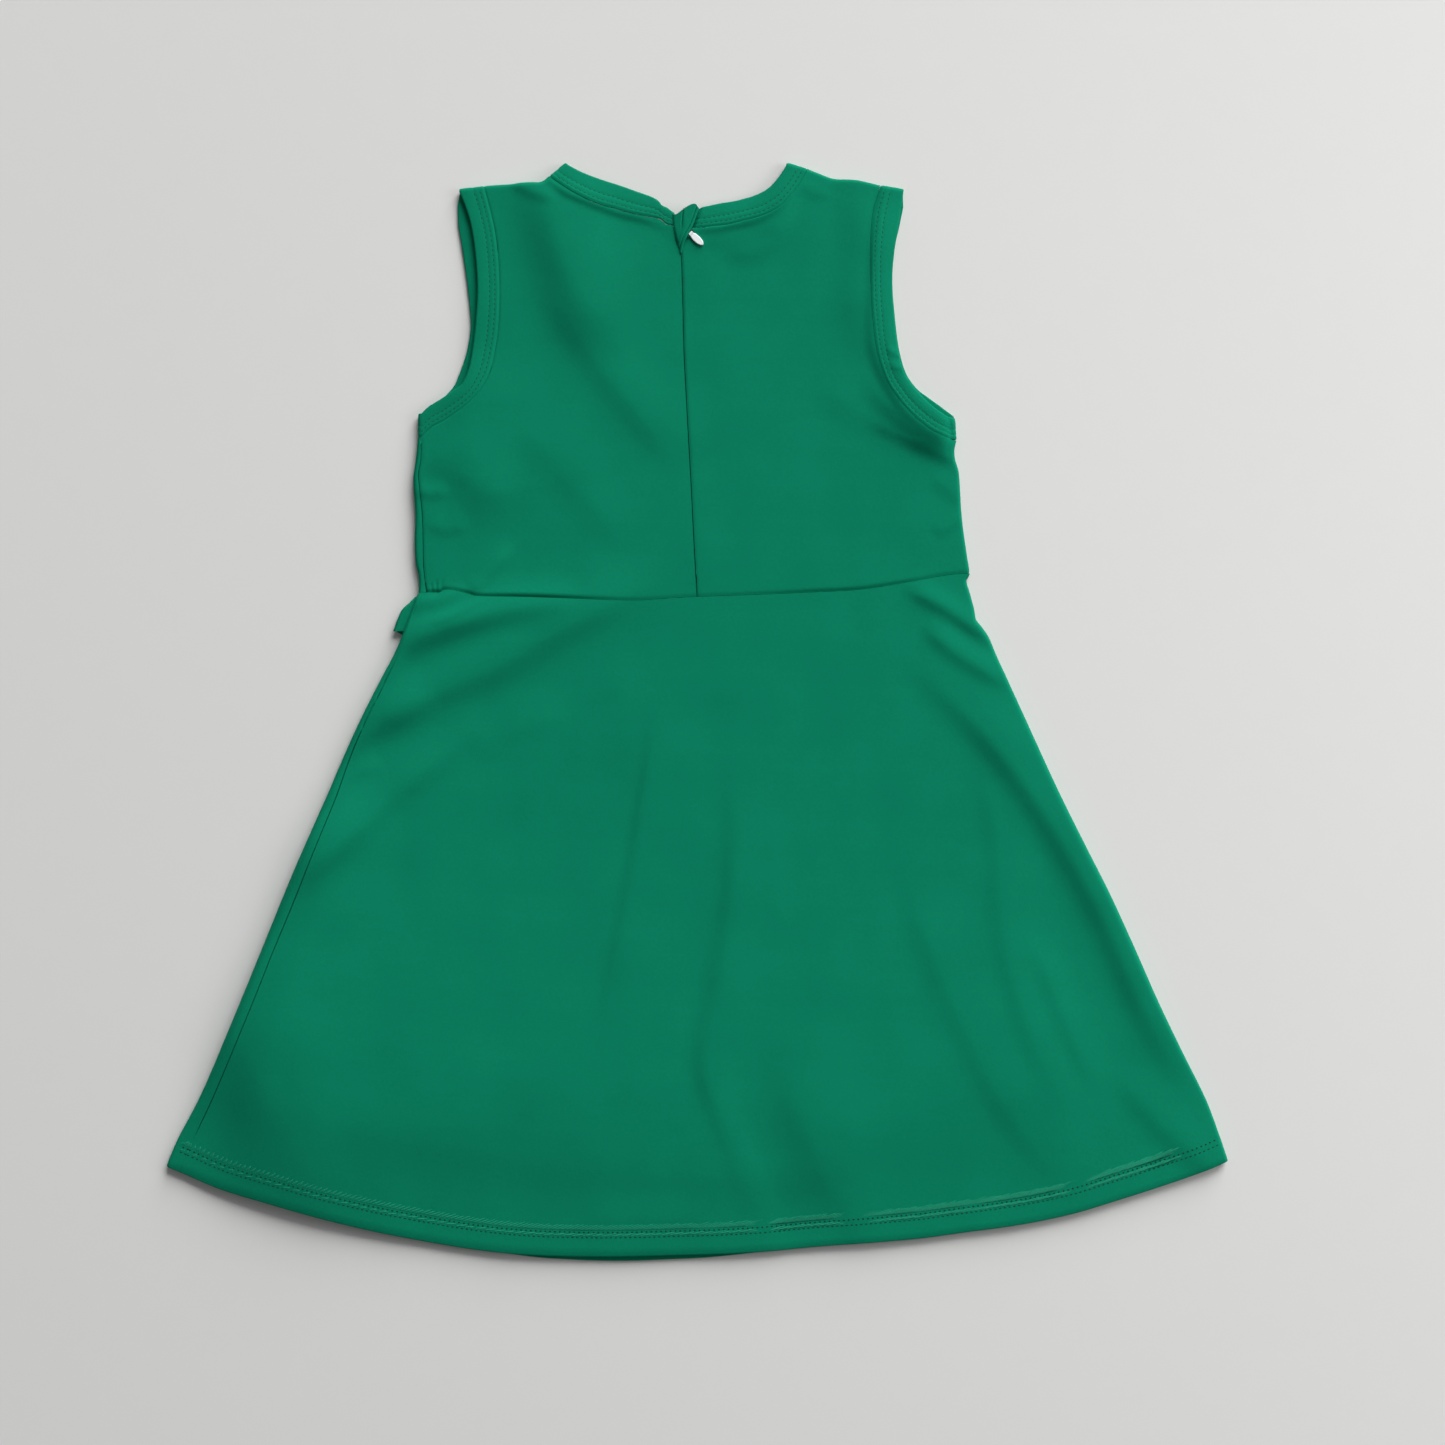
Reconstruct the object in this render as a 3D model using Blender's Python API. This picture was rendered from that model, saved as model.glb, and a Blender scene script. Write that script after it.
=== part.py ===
"""Child's sleeveless athletic dress in stretch knit, lying flat with its back up.

The dress is a flattened tube of cloth. The front panels lie on the surface, the back panels lie on
them, and the cloth rolls over from one layer to the other at the sides, shoulders and underarms.
Tables are in millimetres: X to the right, Y towards the neck, Z up from the surface.
"""

from collections import namedtuple
from math import cos, pi, sin

import bmesh
import bpy
import numpy as np
from mathutils import Matrix, Vector

MM = 0.001

# Cloth and layers
CLOTH = 1.2
BAND_CLOTH = 1.6
SEAM_GAP = 0.3
BACK_MIDDLE = 3.4
BACK_MIDDLE_MIN = 2.3
FRONT_MIDDLE = CLOTH / 2
BAND_FRONT_MIDDLE = BAND_CLOTH / 2
ROLL_REACH = (BACK_MIDDLE - FRONT_MIDDLE) / 2 + CLOTH / 2
ROLL_STEPS = 4
UNDER_TURN = 6.0
WELD = 0.000002

# How many quads each stretch of a seam is divided into
SIDE_STEPS = 8
ARMHOLE_STEPS = 16
CENTRE_STEPS = 16
NECK_STEPS = 8
BODICE_COLUMNS = 20
FRONT_COLUMNS = 7
FRONT_SKIRT_COLUMNS = 5
SKIRT_ROWS = 32
BAND_COLUMNS = 2
CURVE_STEPS = 12

# Zip, slider and pull
TAPE_WIDTH = 9.0
TAPE_CLOTH = 0.8
TAPE_DROP = 1.3
FLAP_CLOTH = 1.0
FLAP_EDGE_MIDDLE = 5.1
FLAP_RISE = 1.7
FLAP_RISE_WIDTH = 3.2
PIVOT = Vector((-3.3, 262.7, 5.2))
PULL_WAY = Vector((0.731, -0.682, 0.0))
HINGE_WAY = Vector((0.682, 0.731, 0.0))
EYE_RADIUS = 0.9
EYE_HOLE_RADIUS = 0.62
EYE_LENGTH = 2.4
PIN_RADIUS = 0.33
PULL_HALF_LENGTH = 4.75
PULL_HALF_WIDTH = 1.9
PULL_CENTRE = 4.3
PULL_THICK = 1.2
PULL_DROP = 0.25
ARM_WIDTH = 0.6
ARM_HEIGHT = 0.9
ARM_OUT = 1.95
ARM_LENGTH = 3.4
SLIDER_SIZE = (2.6, 4.5, 1.2)
SLIDER_BACK = 4.0

# Folded tab at the left end of the waist seam
TAB_CLOTH = 1.0
TAB_TOP_MIDDLE = 3.0

Side = namedtuple("Side", "edge y seam")
Edge = namedtuple("Edge", "x y")
BandRow = namedtuple("BandRow", "seam_x seam_y free_x free_y")
Fold = namedtuple("Fold", "path rise width back")
TabRow = namedtuple("TabRow", "outer inner y top_y")

# Silhouette and side seam: edge x, y, and the x of the seam on the upper layer
BODICE_LEFT = (
    Side(-153.2, 66.0, -148.6),
    Side(-153.2, 75.9, -149.7),
    Side(-155.2, 88.0, -150.5),
    Side(-155.1, 108.4, -151.0),
    Side(-156.2, 128.0, -152.9),
    Side(-154.8, 138.6, -151.8),
    Side(-153.6, 151.3, -151.6),
)
BODICE_RIGHT = (
    Edge(150.2, 76.2),
    Edge(148.5, 86.4),
    Edge(145.8, 106.2),
    Edge(144.7, 123.2),
    Edge(143.2, 134.0),
    Edge(141.8, 143.0),
    Edge(142.5, 149.5),
)
SKIRT_LEFT = (
    Side(-153.2, 66.0, -148.6),
    Side(-157.9, 53.4, -154.7),
    Side(-161.4, 42.9, -158.3),
    Side(-166.4, 31.4, -163.0),
    Side(-176.0, 13.2, -172.2),
    Side(-192.0, -19.8, -188.0),
    Side(-204.1, -48.4, -198.0),
    Side(-215.6, -75.9, -208.7),
    Side(-238.7, -130.9, -231.4),
    Side(-261.2, -185.9, -253.4),
    Side(-285.5, -234.9, -276.5),
    Side(-292.1, -250.0, -283.2),
)
SKIRT_RIGHT = (
    Edge(150.2, 76.2),
    Edge(148.4, 71.6),
    Edge(151.0, 60.0),
    Edge(153.9, 49.0),
    Edge(160.6, 39.5),
    Edge(165.6, 28.6),
    Edge(175.7, 6.6),
    Edge(188.1, -20.9),
    Edge(214.5, -75.9),
    Edge(240.9, -130.9),
    Edge(266.2, -185.9),
    Edge(288.2, -235.4),
    Edge(292.1, -247.0),
)

# Waist seam on the back, from the left side seam to the zip and from there to the right side
WAIST_BACK_LEFT = (
    Edge(-148.6, 66.0),
    Edge(-141.0, 66.2),
    Edge(-137.0, 68.0),
    Edge(-130.0, 67.3),
    Edge(-117.7, 63.9),
    Edge(-97.4, 63.1),
    Edge(-65.0, 62.0),
    Edge(-33.6, 61.3),
    Edge(-14.3, 62.5),
    Edge(0.0, 63.3),
)
WAIST_BACK_RIGHT = (
    Edge(0.0, 63.3),
    Edge(36.3, 64.6),
    Edge(62.2, 65.7),
    Edge(88.6, 67.1),
    Edge(106.2, 69.6),
    Edge(120.5, 72.1),
    Edge(137.0, 75.1),
    Edge(148.2, 76.2),
)
WAIST_FRONT = (
    Edge(-151.2, 66.0),
    Edge(-75.0, 62.8),
    Edge(0.0, 63.0),
    Edge(75.0, 66.8),
    Edge(142.2, 76.2),
)

# Lower edge of the skirt: the front shows a sliver below the back near the middle
HEM_BACK = (
    Edge(-283.2, -253.6),
    Edge(-262.4, -262.2),
    Edge(-207.4, -278.0),
    Edge(-152.4, -290.6),
    Edge(-97.4, -298.2),
    Edge(-42.4, -300.0),
    Edge(12.7, -298.8),
    Edge(67.7, -294.0),
    Edge(122.7, -289.6),
    Edge(177.7, -282.0),
    Edge(232.7, -268.2),
    Edge(279.4, -252.4),
    Edge(290.1, -247.8),
)
HEM_FRONT = (
    Edge(-290.1, -250.8),
    Edge(-262.4, -262.0),
    Edge(-207.4, -277.6),
    Edge(-152.4, -290.2),
    Edge(-97.4, -298.3),
    Edge(-42.4, -301.6),
    Edge(12.7, -299.6),
    Edge(67.7, -293.6),
    Edge(122.7, -289.2),
    Edge(177.7, -281.6),
    Edge(232.7, -267.8),
    Edge(284.6, -250.2),
)

# Line where each shoulder starts to roll over, and the shoulder seam under it on the front
SHOULDER_LEFT = (
    Edge(-116.8, 287.5),
    Edge(-108.4, 288.1),
    Edge(-93.0, 288.5),
    Edge(-85.5, 288.6),
    Edge(-81.8, 290.2),
    Edge(-79.0, 292.7),
)
SHOULDER_RIGHT = (
    Edge(59.9, 296.9),
    Edge(63.8, 295.4),
    Edge(71.4, 292.4),
    Edge(75.6, 291.3),
    Edge(86.3, 290.7),
    Edge(94.3, 289.1),
    Edge(100.5, 287.5),
)
SHOULDER_SEAM_LEFT = (
    Edge(-118.2, 279.6),
    Edge(-108.5, 280.0),
    Edge(-93.0, 281.0),
    Edge(-83.5, 283.0),
    Edge(-73.5, 286.9),
)
SHOULDER_SEAM_RIGHT = (
    Edge(57.8, 289.2),
    Edge(62.5, 287.2),
    Edge(70.5, 284.4),
    Edge(75.2, 283.4),
    Edge(86.2, 282.8),
    Edge(94.2, 281.2),
    Edge(100.9, 279.6),
)
LEFT_SHOULDER_OUT = ((-0.115, 0.993), (-0.69, 0.724))
RIGHT_SHOULDER_OUT = ((0.26, 0.966), (0.16, 0.987))
LEFT_OUT = (-1.0, 0.0)
RIGHT_OUT = (1.0, 0.0)
FIRST_END = [0]
BOTH_ENDS = [0, -1]

# Zip line down the middle of the back, and the two points where it meets the neck seam
CENTRE_BACK = (
    Edge(0.0, 63.3),
    Edge(-1.7, 94.1),
    Edge(-3.3, 126.0),
    Edge(-5.5, 165.6),
    Edge(-7.2, 199.1),
    Edge(-8.0, 232.1),
    Edge(-9.1, 254.1),
)
CENTRE_TOP_LEFT = Edge(-12.9, 267.3)
CENTRE_TOP_RIGHT = Edge(-11.9, 265.2)
CENTRE_FRONT = (
    Edge(0.0, 63.0),
    Edge(-5.0, 140.0),
    Edge(-9.8, 220.5),
)

# Bands: seam edge and free edge, station by station. The last row is where the band rolls over
NECK_BACK_LEFT = (
    BandRow(-12.9, 267.3, -14.0, 275.0),
    BandRow(-17.1, 268.2, -18.2, 277.9),
    BandRow(-23.1, 271.0, -23.1, 281.3),
    BandRow(-35.8, 273.9, -32.5, 285.7),
    BandRow(-45.7, 276.7, -42.4, 289.3),
    BandRow(-55.8, 279.4, -52.3, 292.4),
    BandRow(-68.2, 285.5, -62.7, 296.3),
    BandRow(-79.0, 292.7, -70.7, 300.5),
)
NECK_BACK_RIGHT = (
    BandRow(-11.9, 265.2, -11.2, 273.8),
    BandRow(-1.7, 265.9, -2.8, 276.1),
    BandRow(15.4, 267.3, 12.1, 279.4),
    BandRow(25.3, 269.5, 20.9, 280.8),
    BandRow(35.8, 272.2, 30.8, 283.5),
    BandRow(42.9, 275.6, 37.4, 286.6),
    BandRow(47.9, 279.4, 41.2, 289.6),
    BandRow(54.8, 288.0, 45.2, 294.4),
    BandRow(59.9, 296.9, 48.9, 300.1),
)
NECK_FRONT_LEFT = (
    BandRow(-73.5, 286.9, -65.3, 294.7),
    BandRow(-69.5, 276.0, -58.6, 280.6),
    BandRow(-62.5, 259.5, -52.2, 265.2),
    BandRow(-51.5, 243.5, -43.2, 252.0),
    BandRow(-37.5, 230.5, -31.7, 240.8),
    BandRow(-22.5, 222.8, -19.5, 234.2),
    BandRow(-9.8, 220.5, -9.8, 232.3),
)
NECK_FRONT_RIGHT = (
    BandRow(-9.8, 220.5, -9.8, 232.3),
    BandRow(3.0, 222.8, 0.0, 234.2),
    BandRow(18.0, 230.5, 12.2, 240.8),
    BandRow(32.0, 243.5, 23.7, 252.0),
    BandRow(43.5, 260.5, 33.0, 265.8),
    BandRow(51.5, 276.5, 40.6, 280.7),
    BandRow(57.8, 289.2, 46.8, 292.4),
)
ARMHOLE_LEFT_BACK = (
    BandRow(-151.6, 151.3, -151.4, 164.2),
    BandRow(-146.6, 156.2, -147.0, 168.3),
    BandRow(-140.8, 159.2, -141.2, 171.8),
    BandRow(-132.3, 164.5, -134.8, 176.0),
    BandRow(-124.9, 170.2, -129.4, 180.0),
    BandRow(-119.4, 176.6, -127.0, 184.4),
    BandRow(-115.0, 184.3, -125.1, 190.3),
    BandRow(-112.2, 193.1, -123.5, 199.1),
    BandRow(-109.5, 210.1, -121.7, 214.5),
    BandRow(-108.6, 229.4, -120.7, 232.1),
    BandRow(-109.2, 247.5, -121.8, 250.8),
    BandRow(-111.1, 264.0, -124.2, 267.3),
    BandRow(-114.0, 277.0, -127.6, 278.5),
    BandRow(-116.8, 287.5, -130.6, 285.8),
)
ARMHOLE_LEFT_FRONT = (
    BandRow(-118.2, 279.6, -131.9, 279.0),
    BandRow(-118.6, 268.5, -131.5, 268.4),
    BandRow(-117.2, 257.0, -129.8, 258.0),
    BandRow(-115.4, 245.0, -128.2, 247.5),
    BandRow(-113.8, 232.5, -126.5, 234.9),
    BandRow(-112.4, 218.0, -124.9, 218.4),
    BandRow(-112.6, 208.0, -124.9, 210.1),
    BandRow(-115.6, 193.5, -127.1, 197.5),
    BandRow(-120.8, 180.0, -131.5, 184.8),
    BandRow(-125.8, 171.6, -134.6, 178.6),
    BandRow(-134.0, 163.0, -140.3, 172.8),
    BandRow(-142.8, 156.6, -146.9, 168.2),
    BandRow(-151.6, 151.3, -151.4, 164.2),
)
ARMHOLE_RIGHT_BACK = (
    BandRow(140.5, 149.8, 138.2, 161.5),
    BandRow(135.4, 151.2, 134.2, 163.6),
    BandRow(128.7, 154.3, 128.2, 168.0),
    BandRow(120.5, 160.6, 123.2, 173.0),
    BandRow(114.4, 166.9, 119.4, 177.1),
    BandRow(109.5, 173.2, 116.1, 181.5),
    BandRow(104.0, 182.1, 112.8, 188.1),
    BandRow(99.0, 197.5, 110.3, 199.1),
    BandRow(96.5, 216.2, 108.4, 216.2),
    BandRow(95.4, 235.4, 107.3, 235.4),
    BandRow(95.2, 254.1, 108.1, 250.3),
    BandRow(96.5, 273.4, 110.6, 267.3),
    BandRow(100.5, 287.5, 113.4, 285.4),
)
ARMHOLE_RIGHT_FRONT = (
    BandRow(134.5, 151.6, 135.4, 164.2),
    BandRow(128.2, 154.6, 131.6, 167.4),
    BandRow(119.5, 160.6, 127.0, 171.6),
    BandRow(110.6, 169.8, 120.5, 178.2),
    BandRow(103.6, 181.5, 115.0, 186.8),
    BandRow(98.9, 198.0, 111.3, 199.6),
    BandRow(96.4, 216.0, 109.1, 216.2),
    BandRow(94.8, 234.5, 107.6, 234.9),
    BandRow(95.2, 247.5, 108.0, 248.5),
    BandRow(96.4, 257.5, 109.1, 257.4),
    BandRow(98.6, 268.5, 111.4, 267.3),
    BandRow(100.9, 279.6, 113.6, 278.0),
)

# Folds of the upper layer: each row is the steepest line of a fold, with how far its crest rises and
# how wide its steep side and its gentle side are. The crest is on the left of the way
FOLDS = (
    Fold(((-98, 304), (-84, 268), (-70, 243), (-46, 220), (-26, 190)), 2.3, 15, 24),
    Fold(((-98, 246), (-74, 210), (-52, 180), (-28, 150), (-14, 126)), 1.3, 10, 22),
    Fold(((-106, 162), (-84, 136), (-60, 108), (-36, 78)), 0.9, 11, 24),
    Fold(((-153, 141), (-140, 131), (-122, 120), (-98, 110)), 1.2, 11, 18),
    Fold(((86, 190), (101, 168), (117, 153), (130, 145), (143, 139)), 1.6, 7, 12),
    Fold(((60, 178), (82, 163), (104, 152), (128, 148)), 1.1, 10, 12),
    Fold(((96, 288), (90, 250), (86, 214), (90, 176)), 1.0, 12, 14),
    Fold(((6, 253), (28, 249), (46, 258), (60, 284)), 0.8, 6, 9),
    Fold(((-4, 262), (18, 266), (38, 272), (52, 285), (64, 304)), 1.1, 5, 10),
    Fold(((-106, 293), (-92, 284), (-76, 279)), 0.9, 4, 8),
    Fold(((-163, 28), (-147, 39), (-127, 46), (-98, 52), (-50, 58)), 2.6, 8, 11),
    Fold(((-194, -29), (-170, -8), (-142, 4), (-107, 17), (-78, 36), (-42, 56)), 2.8, 9, 17),
    Fold(((-222, -104), (-202, -84), (-178, -62), (-150, -38), (-108, -4)), 2.2, 8, 18),
    Fold(((-190, 0), (-228, -120), (-250, -200), (-256, -320)), 4.0, 24, 56),
    Fold(((-130, 40), (-166, -120), (-184, -290)), 1.2, 24, 46),
    Fold(((-26, -22), (-36, -84), (-46, -130), (-58, -180)), 0.45, 4, 14),
    Fold(((16, -34), (17, -100), (9, -150), (1, -190), (9, -224), (40, -306)), 1.5, 7, 24),
    Fold(((38, -190), (60, -244), (96, -310)), 0.9, 11, 30),
    Fold(((104, -66), (122, -126), (144, -178), (170, -226), (218, -284)), 0.9, 8, 24),
    Fold(((144, -8), (160, -64), (164, -120), (180, -180), (204, -228)), 0.9, 7, 18),
    Fold(((180, -124), (198, -168), (220, -218)), 0.8, 6, 12),
    Fold(((100, 36), (148, -8), (184, -54), (218, -112), (244, -170), (280, -232)), 2.4, 7, 12),
    Fold(((110, 68), (136, 54), (168, 32)), 1.3, 4, 7),
    Fold(((120, 48), (142, 29), (178, 8)), 1.2, 5, 8),
    Fold(((226, -198), (256, -234), (298, -266)), 1.0, 7, 14),
    Fold(((-280, -215), (-100, -256), (20, -264), (140, -246)), 1.2, 20, 46),
)
FOLD_END = 0.3
CREST_AT = 0.7

# Outline of the turned-out end of the zip, bottom to top
FLAP_LEFT = (
    Edge(-8.9, 252.6),
    Edge(-9.7, 257.0),
    Edge(-11.0, 262.0),
    Edge(-12.2, 267.2),
    Edge(-12.4, 273.6),
)
FLAP_RIGHT = (
    Edge(-7.8, 252.6),
    Edge(-6.6, 257.4),
    Edge(-4.9, 263.0),
    Edge(-1.9, 269.5),
    Edge(1.2, 277.0),
)
FLAP_TOP = (
    Edge(-12.4, 273.6),
    Edge(-8.6, 275.8),
    Edge(-5.0, 278.0),
    Edge(-1.2, 279.4),
    Edge(1.2, 277.0),
)
FLAP_ROWS = 6
FLAP_COLUMNS = 6

TAB_ROWS = (
    TabRow(-158.2, -156.1, 60.0, 60.0),
    TabRow(-162.4, -157.4, 56.3, 56.3),
    TabRow(-164.9, -159.2, 51.3, 51.3),
    TabRow(-166.6, -160.8, 46.6, 46.6),
    TabRow(-167.4, -161.8, 42.2, 44.4),
)

GREEN = (0.010, 0.165, 0.098)
DARK_GREEN = (0.006, 0.100, 0.060)
WHITE = (0.78, 0.82, 0.88)


def clear_scene():
    """Remove every object of the open scene."""
    for item in list(bpy.data.objects):
        bpy.data.objects.remove(item, do_unlink=True)


def finish_of(name, color, roughness):
    """Return a Principled material of one colour."""
    material = bpy.data.materials.new(name)
    material.use_nodes = True
    shader = material.node_tree.nodes["Principled BSDF"]
    shader.inputs["Base Color"].default_value = (*color, 1.0)
    shader.inputs["Roughness"].default_value = roughness
    shader.inputs["Metallic"].default_value = 0.0
    return material


def smooth_line(rows):
    """Return many rows on a Catmull-Rom curve through the given rows, column by column."""
    knots = np.array(rows, dtype=float)
    padded = np.vstack([2 * knots[0] - knots[1], knots, 2 * knots[-1] - knots[-2]])
    t = np.linspace(0.0, 1.0, CURVE_STEPS, endpoint=False)[:, None]
    pieces = []
    for before, start, end, after in zip(padded, padded[1:], padded[2:], padded[3:]):
        bend = 2 * before - 5 * start + 4 * end - after
        twist = 3 * start - before - 3 * end + after
        pieces.append(start + 0.5 * t * (end - before + t * (bend + t * twist)))
    pieces.append(knots[-1:])
    return np.vstack(pieces)


def resample(rows, steps):
    """Return steps + 1 rows on the smooth curve, evenly spaced along their first two columns."""
    fine = smooth_line(rows)
    hops = np.hypot(*np.diff(fine[:, :2], axis=0).T)
    travelled = np.concatenate(([0.0], np.cumsum(hops)))
    wanted = np.linspace(0.0, travelled[-1], steps + 1)
    return np.column_stack([np.interp(wanted, travelled, column) for column in fine.T])


def joined(first, second):
    """Return two point lists end to end, with the point that they share kept once."""
    return np.vstack([first, second[1:]])


def back_middle(points):
    """Return the height of the middle of the upper layer's wall at each point."""
    points = np.asarray(points, dtype=float)
    flat = points.reshape(-1, 2)
    height = np.full(len(flat), BACK_MIDDLE)
    for fold in FOLDS:
        height += fold.rise * fold_profile(flat, fold)
    return np.maximum(height, BACK_MIDDLE_MIN).reshape(points.shape[:-1])


def fold_profile(points, fold):
    """Return a crest that is steep on the right of its line and gentle on its left, and fades out."""
    path = smooth_line(fold.path)
    starts, spans = path[:-1], np.diff(path, axis=0)
    along = np.einsum("psk,sk->ps", points[:, None] - starts, spans) / (spans ** 2).sum(axis=1)
    held = np.clip(along, 0.0, 1.0)
    apart = points[:, None] - starts - held[..., None] * spans
    distance = np.hypot(apart[..., 0], apart[..., 1])
    best = distance.argmin(axis=1)
    rows = np.arange(len(points))
    apart, span = apart[rows, best], spans[best]
    left_of = np.sign(span[:, 0] * apart[:, 1] - span[:, 1] * apart[:, 0])
    beyond = left_of * distance[rows, best] - CREST_AT * fold.width
    slope = np.where(beyond > 0.0, fold.back, fold.width)
    share = np.clip((best + held[rows, best]) / len(spans), 0.0, 1.0)
    fade = np.clip(np.minimum(share, 1.0 - share) / FOLD_END, 0.0, 1.0)
    return fade ** 2 * (3.0 - 2.0 * fade) * np.exp(-(beyond / slope) ** 2)


def on_back(points):
    """Lift x, y points to the middle of the upper layer."""
    return np.concatenate([points, back_middle(points)[..., None]], axis=-1)


def on_front(points, middle=FRONT_MIDDLE):
    """Lift x, y points to the middle of the lower layer."""
    return np.concatenate([points, np.full(points.shape[:-1] + (1,), middle)], axis=-1)


def patch(bottom, top, left, right):
    """Return a grid of x, y points that fills four edges which share their corners."""
    u = np.linspace(0.0, 1.0, len(bottom))[None, :, None]
    v = np.linspace(0.0, 1.0, len(left))[:, None, None]
    across = (1 - u) * left[:, None] + u * right[:, None]
    along = (1 - v) * bottom[None] + v * top[None]
    low = (1 - u) * bottom[0] + u * bottom[-1]
    high = (1 - u) * top[0] + u * top[-1]
    return across + along - (1 - v) * low - v * high


def trim(grid, side, rows=slice(None)):
    """Move the vertices of one side of a patch inwards, square to that side, by the seam gap."""
    view = {"left": grid, "right": grid[:, ::-1]}.get(side)
    if view is None:
        turned = np.swapaxes(grid, 0, 1)
        view = turned if side == "bottom" else turned[:, ::-1]
    edge, inner = view[:, 0].copy(), view[:, 1]
    along = np.gradient(edge, axis=0)
    along /= np.linalg.norm(along, axis=1, keepdims=True)
    inward = inner - edge
    inward /= np.linalg.norm(inward, axis=1, keepdims=True)
    square = np.abs(along[:, 0] * inward[:, 1] - along[:, 1] * inward[:, 0])
    moved = edge + inward * SEAM_GAP / np.maximum(square, 0.3)[:, None]
    view[rows, 0] = moved[rows]


def shortened(points):
    """Return a line with both of its ends drawn in by the seam gap."""
    result = points.copy()
    for end, neighbour in ((0, 1), (-1, -2)):
        way = points[neighbour] - points[end]
        result[end] += way * SEAM_GAP / np.linalg.norm(way)
    return result


def outward_between(first, last, count):
    """Return unit directions that turn from one to the other, most of the turn near the last."""
    share = np.linspace(0.0, 1.0, count)[:, None] ** 3
    ways = (1 - share) * np.array(first) + share * np.array(last)
    return ways / np.linalg.norm(ways, axis=1, keepdims=True)


def side_outward(fold, level, level_ends):
    """Return the directions square to a side edge, level at the named ends."""
    along = np.gradient(fold, axis=0)
    ways = np.column_stack([along[:, 1], -along[:, 0]])
    ways /= np.linalg.norm(ways, axis=1, keepdims=True)
    ways *= np.sign((ways * np.array(level)).sum(axis=1))[:, None]
    ways[level_ends] = level
    return ways


def rolled_edge(fold, outward, far, from_back):
    """Return rows of points for cloth that rolls over a fold and lies flat as far as a seam."""
    back = back_middle(fold)
    centre = (back + FRONT_MIDDLE) / 2
    radius = (back - FRONT_MIDDLE) / 2
    sign = 1.0 if from_back else -1.0
    columns = []
    for step in range(ROLL_STEPS + 1):
        angle = pi * step / ROLL_STEPS
        place = fold + outward * (radius * sin(angle))[:, None]
        columns.append(np.column_stack([place, centre + sign * radius * cos(angle)]))
    columns.append(on_front(far) if from_back else on_back(far))
    return np.stack(columns, axis=1)


def add_patch(mesh, points):
    """Add one grid of quads whose vertices lie at the given rows and columns of points."""
    rows, columns = points.shape[:2]
    grid = bmesh.ops.create_grid(mesh, x_segments=columns - 1, y_segments=rows - 1, size=1.0)
    for vertex, point in zip(grid["verts"], points.reshape(-1, 3)):
        vertex.co = Vector(point) * MM


def cloth_piece(name, patches, thickness, material):
    """Weld patches into one sheet and give it a wall, half to each side."""
    mesh = bmesh.new()
    for points in patches:
        add_patch(mesh, points)
    bmesh.ops.remove_doubles(mesh, verts=mesh.verts, dist=WELD)
    bmesh.ops.recalc_face_normals(mesh, faces=mesh.faces)
    piece = object_from(name, mesh, material)
    wall = piece.modifiers.new("wall", "SOLIDIFY")
    wall.thickness = thickness * MM
    wall.offset = 0.0
    wall.use_even_offset = True
    return piece


def object_from(name, mesh, material):
    """Make a scene object from an edit mesh."""
    data = bpy.data.meshes.new(name)
    mesh.to_mesh(data)
    mesh.free()
    data.materials.append(material)
    data.shade_smooth()
    data.set_sharp_from_angle(angle=pi / 5)
    piece = bpy.data.objects.new(name, data)
    bpy.context.scene.collection.objects.link(piece)
    return piece


def side_fold(rows, way):
    """Return the line where a side starts to roll, inside its silhouette."""
    near = rows[:, :2] - np.array(way) * ROLL_REACH
    reach = (back_middle(near) - FRONT_MIDDLE) / 2 + CLOTH / 2
    return np.column_stack([rows[:, 0] - way[0] * reach, rows[:, 1]])


def back_bodice_left(material):
    """Upper left of the back: side seam, armhole, shoulder roll, neck and zip line."""
    side = resample(BODICE_LEFT, SIDE_STEPS)
    armhole = resample(ARMHOLE_LEFT_BACK, ARMHOLE_STEPS)[:, :2]
    left = joined(side[:, 2:0:-1], armhole)
    centre = resample(CENTRE_BACK + (CENTRE_TOP_LEFT,), CENTRE_STEPS)
    right = joined(centre, resample(NECK_BACK_LEFT, NECK_STEPS)[:, :2])
    grid = patch(resample(WAIST_BACK_LEFT, BODICE_COLUMNS), resample(SHOULDER_LEFT, BODICE_COLUMNS),
                 left, right)
    for side_name in ("left", "right", "bottom"):
        trim(grid, side_name)
    outward = outward_between(*LEFT_SHOULDER_OUT, BODICE_COLUMNS + 1)
    far = shortened(resample(SHOULDER_SEAM_LEFT, BODICE_COLUMNS))
    shoulder = rolled_edge(grid[-1], outward, far, from_back=True)
    return cloth_piece("back_bodice_left", (on_back(grid), shoulder), CLOTH, material)


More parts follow.
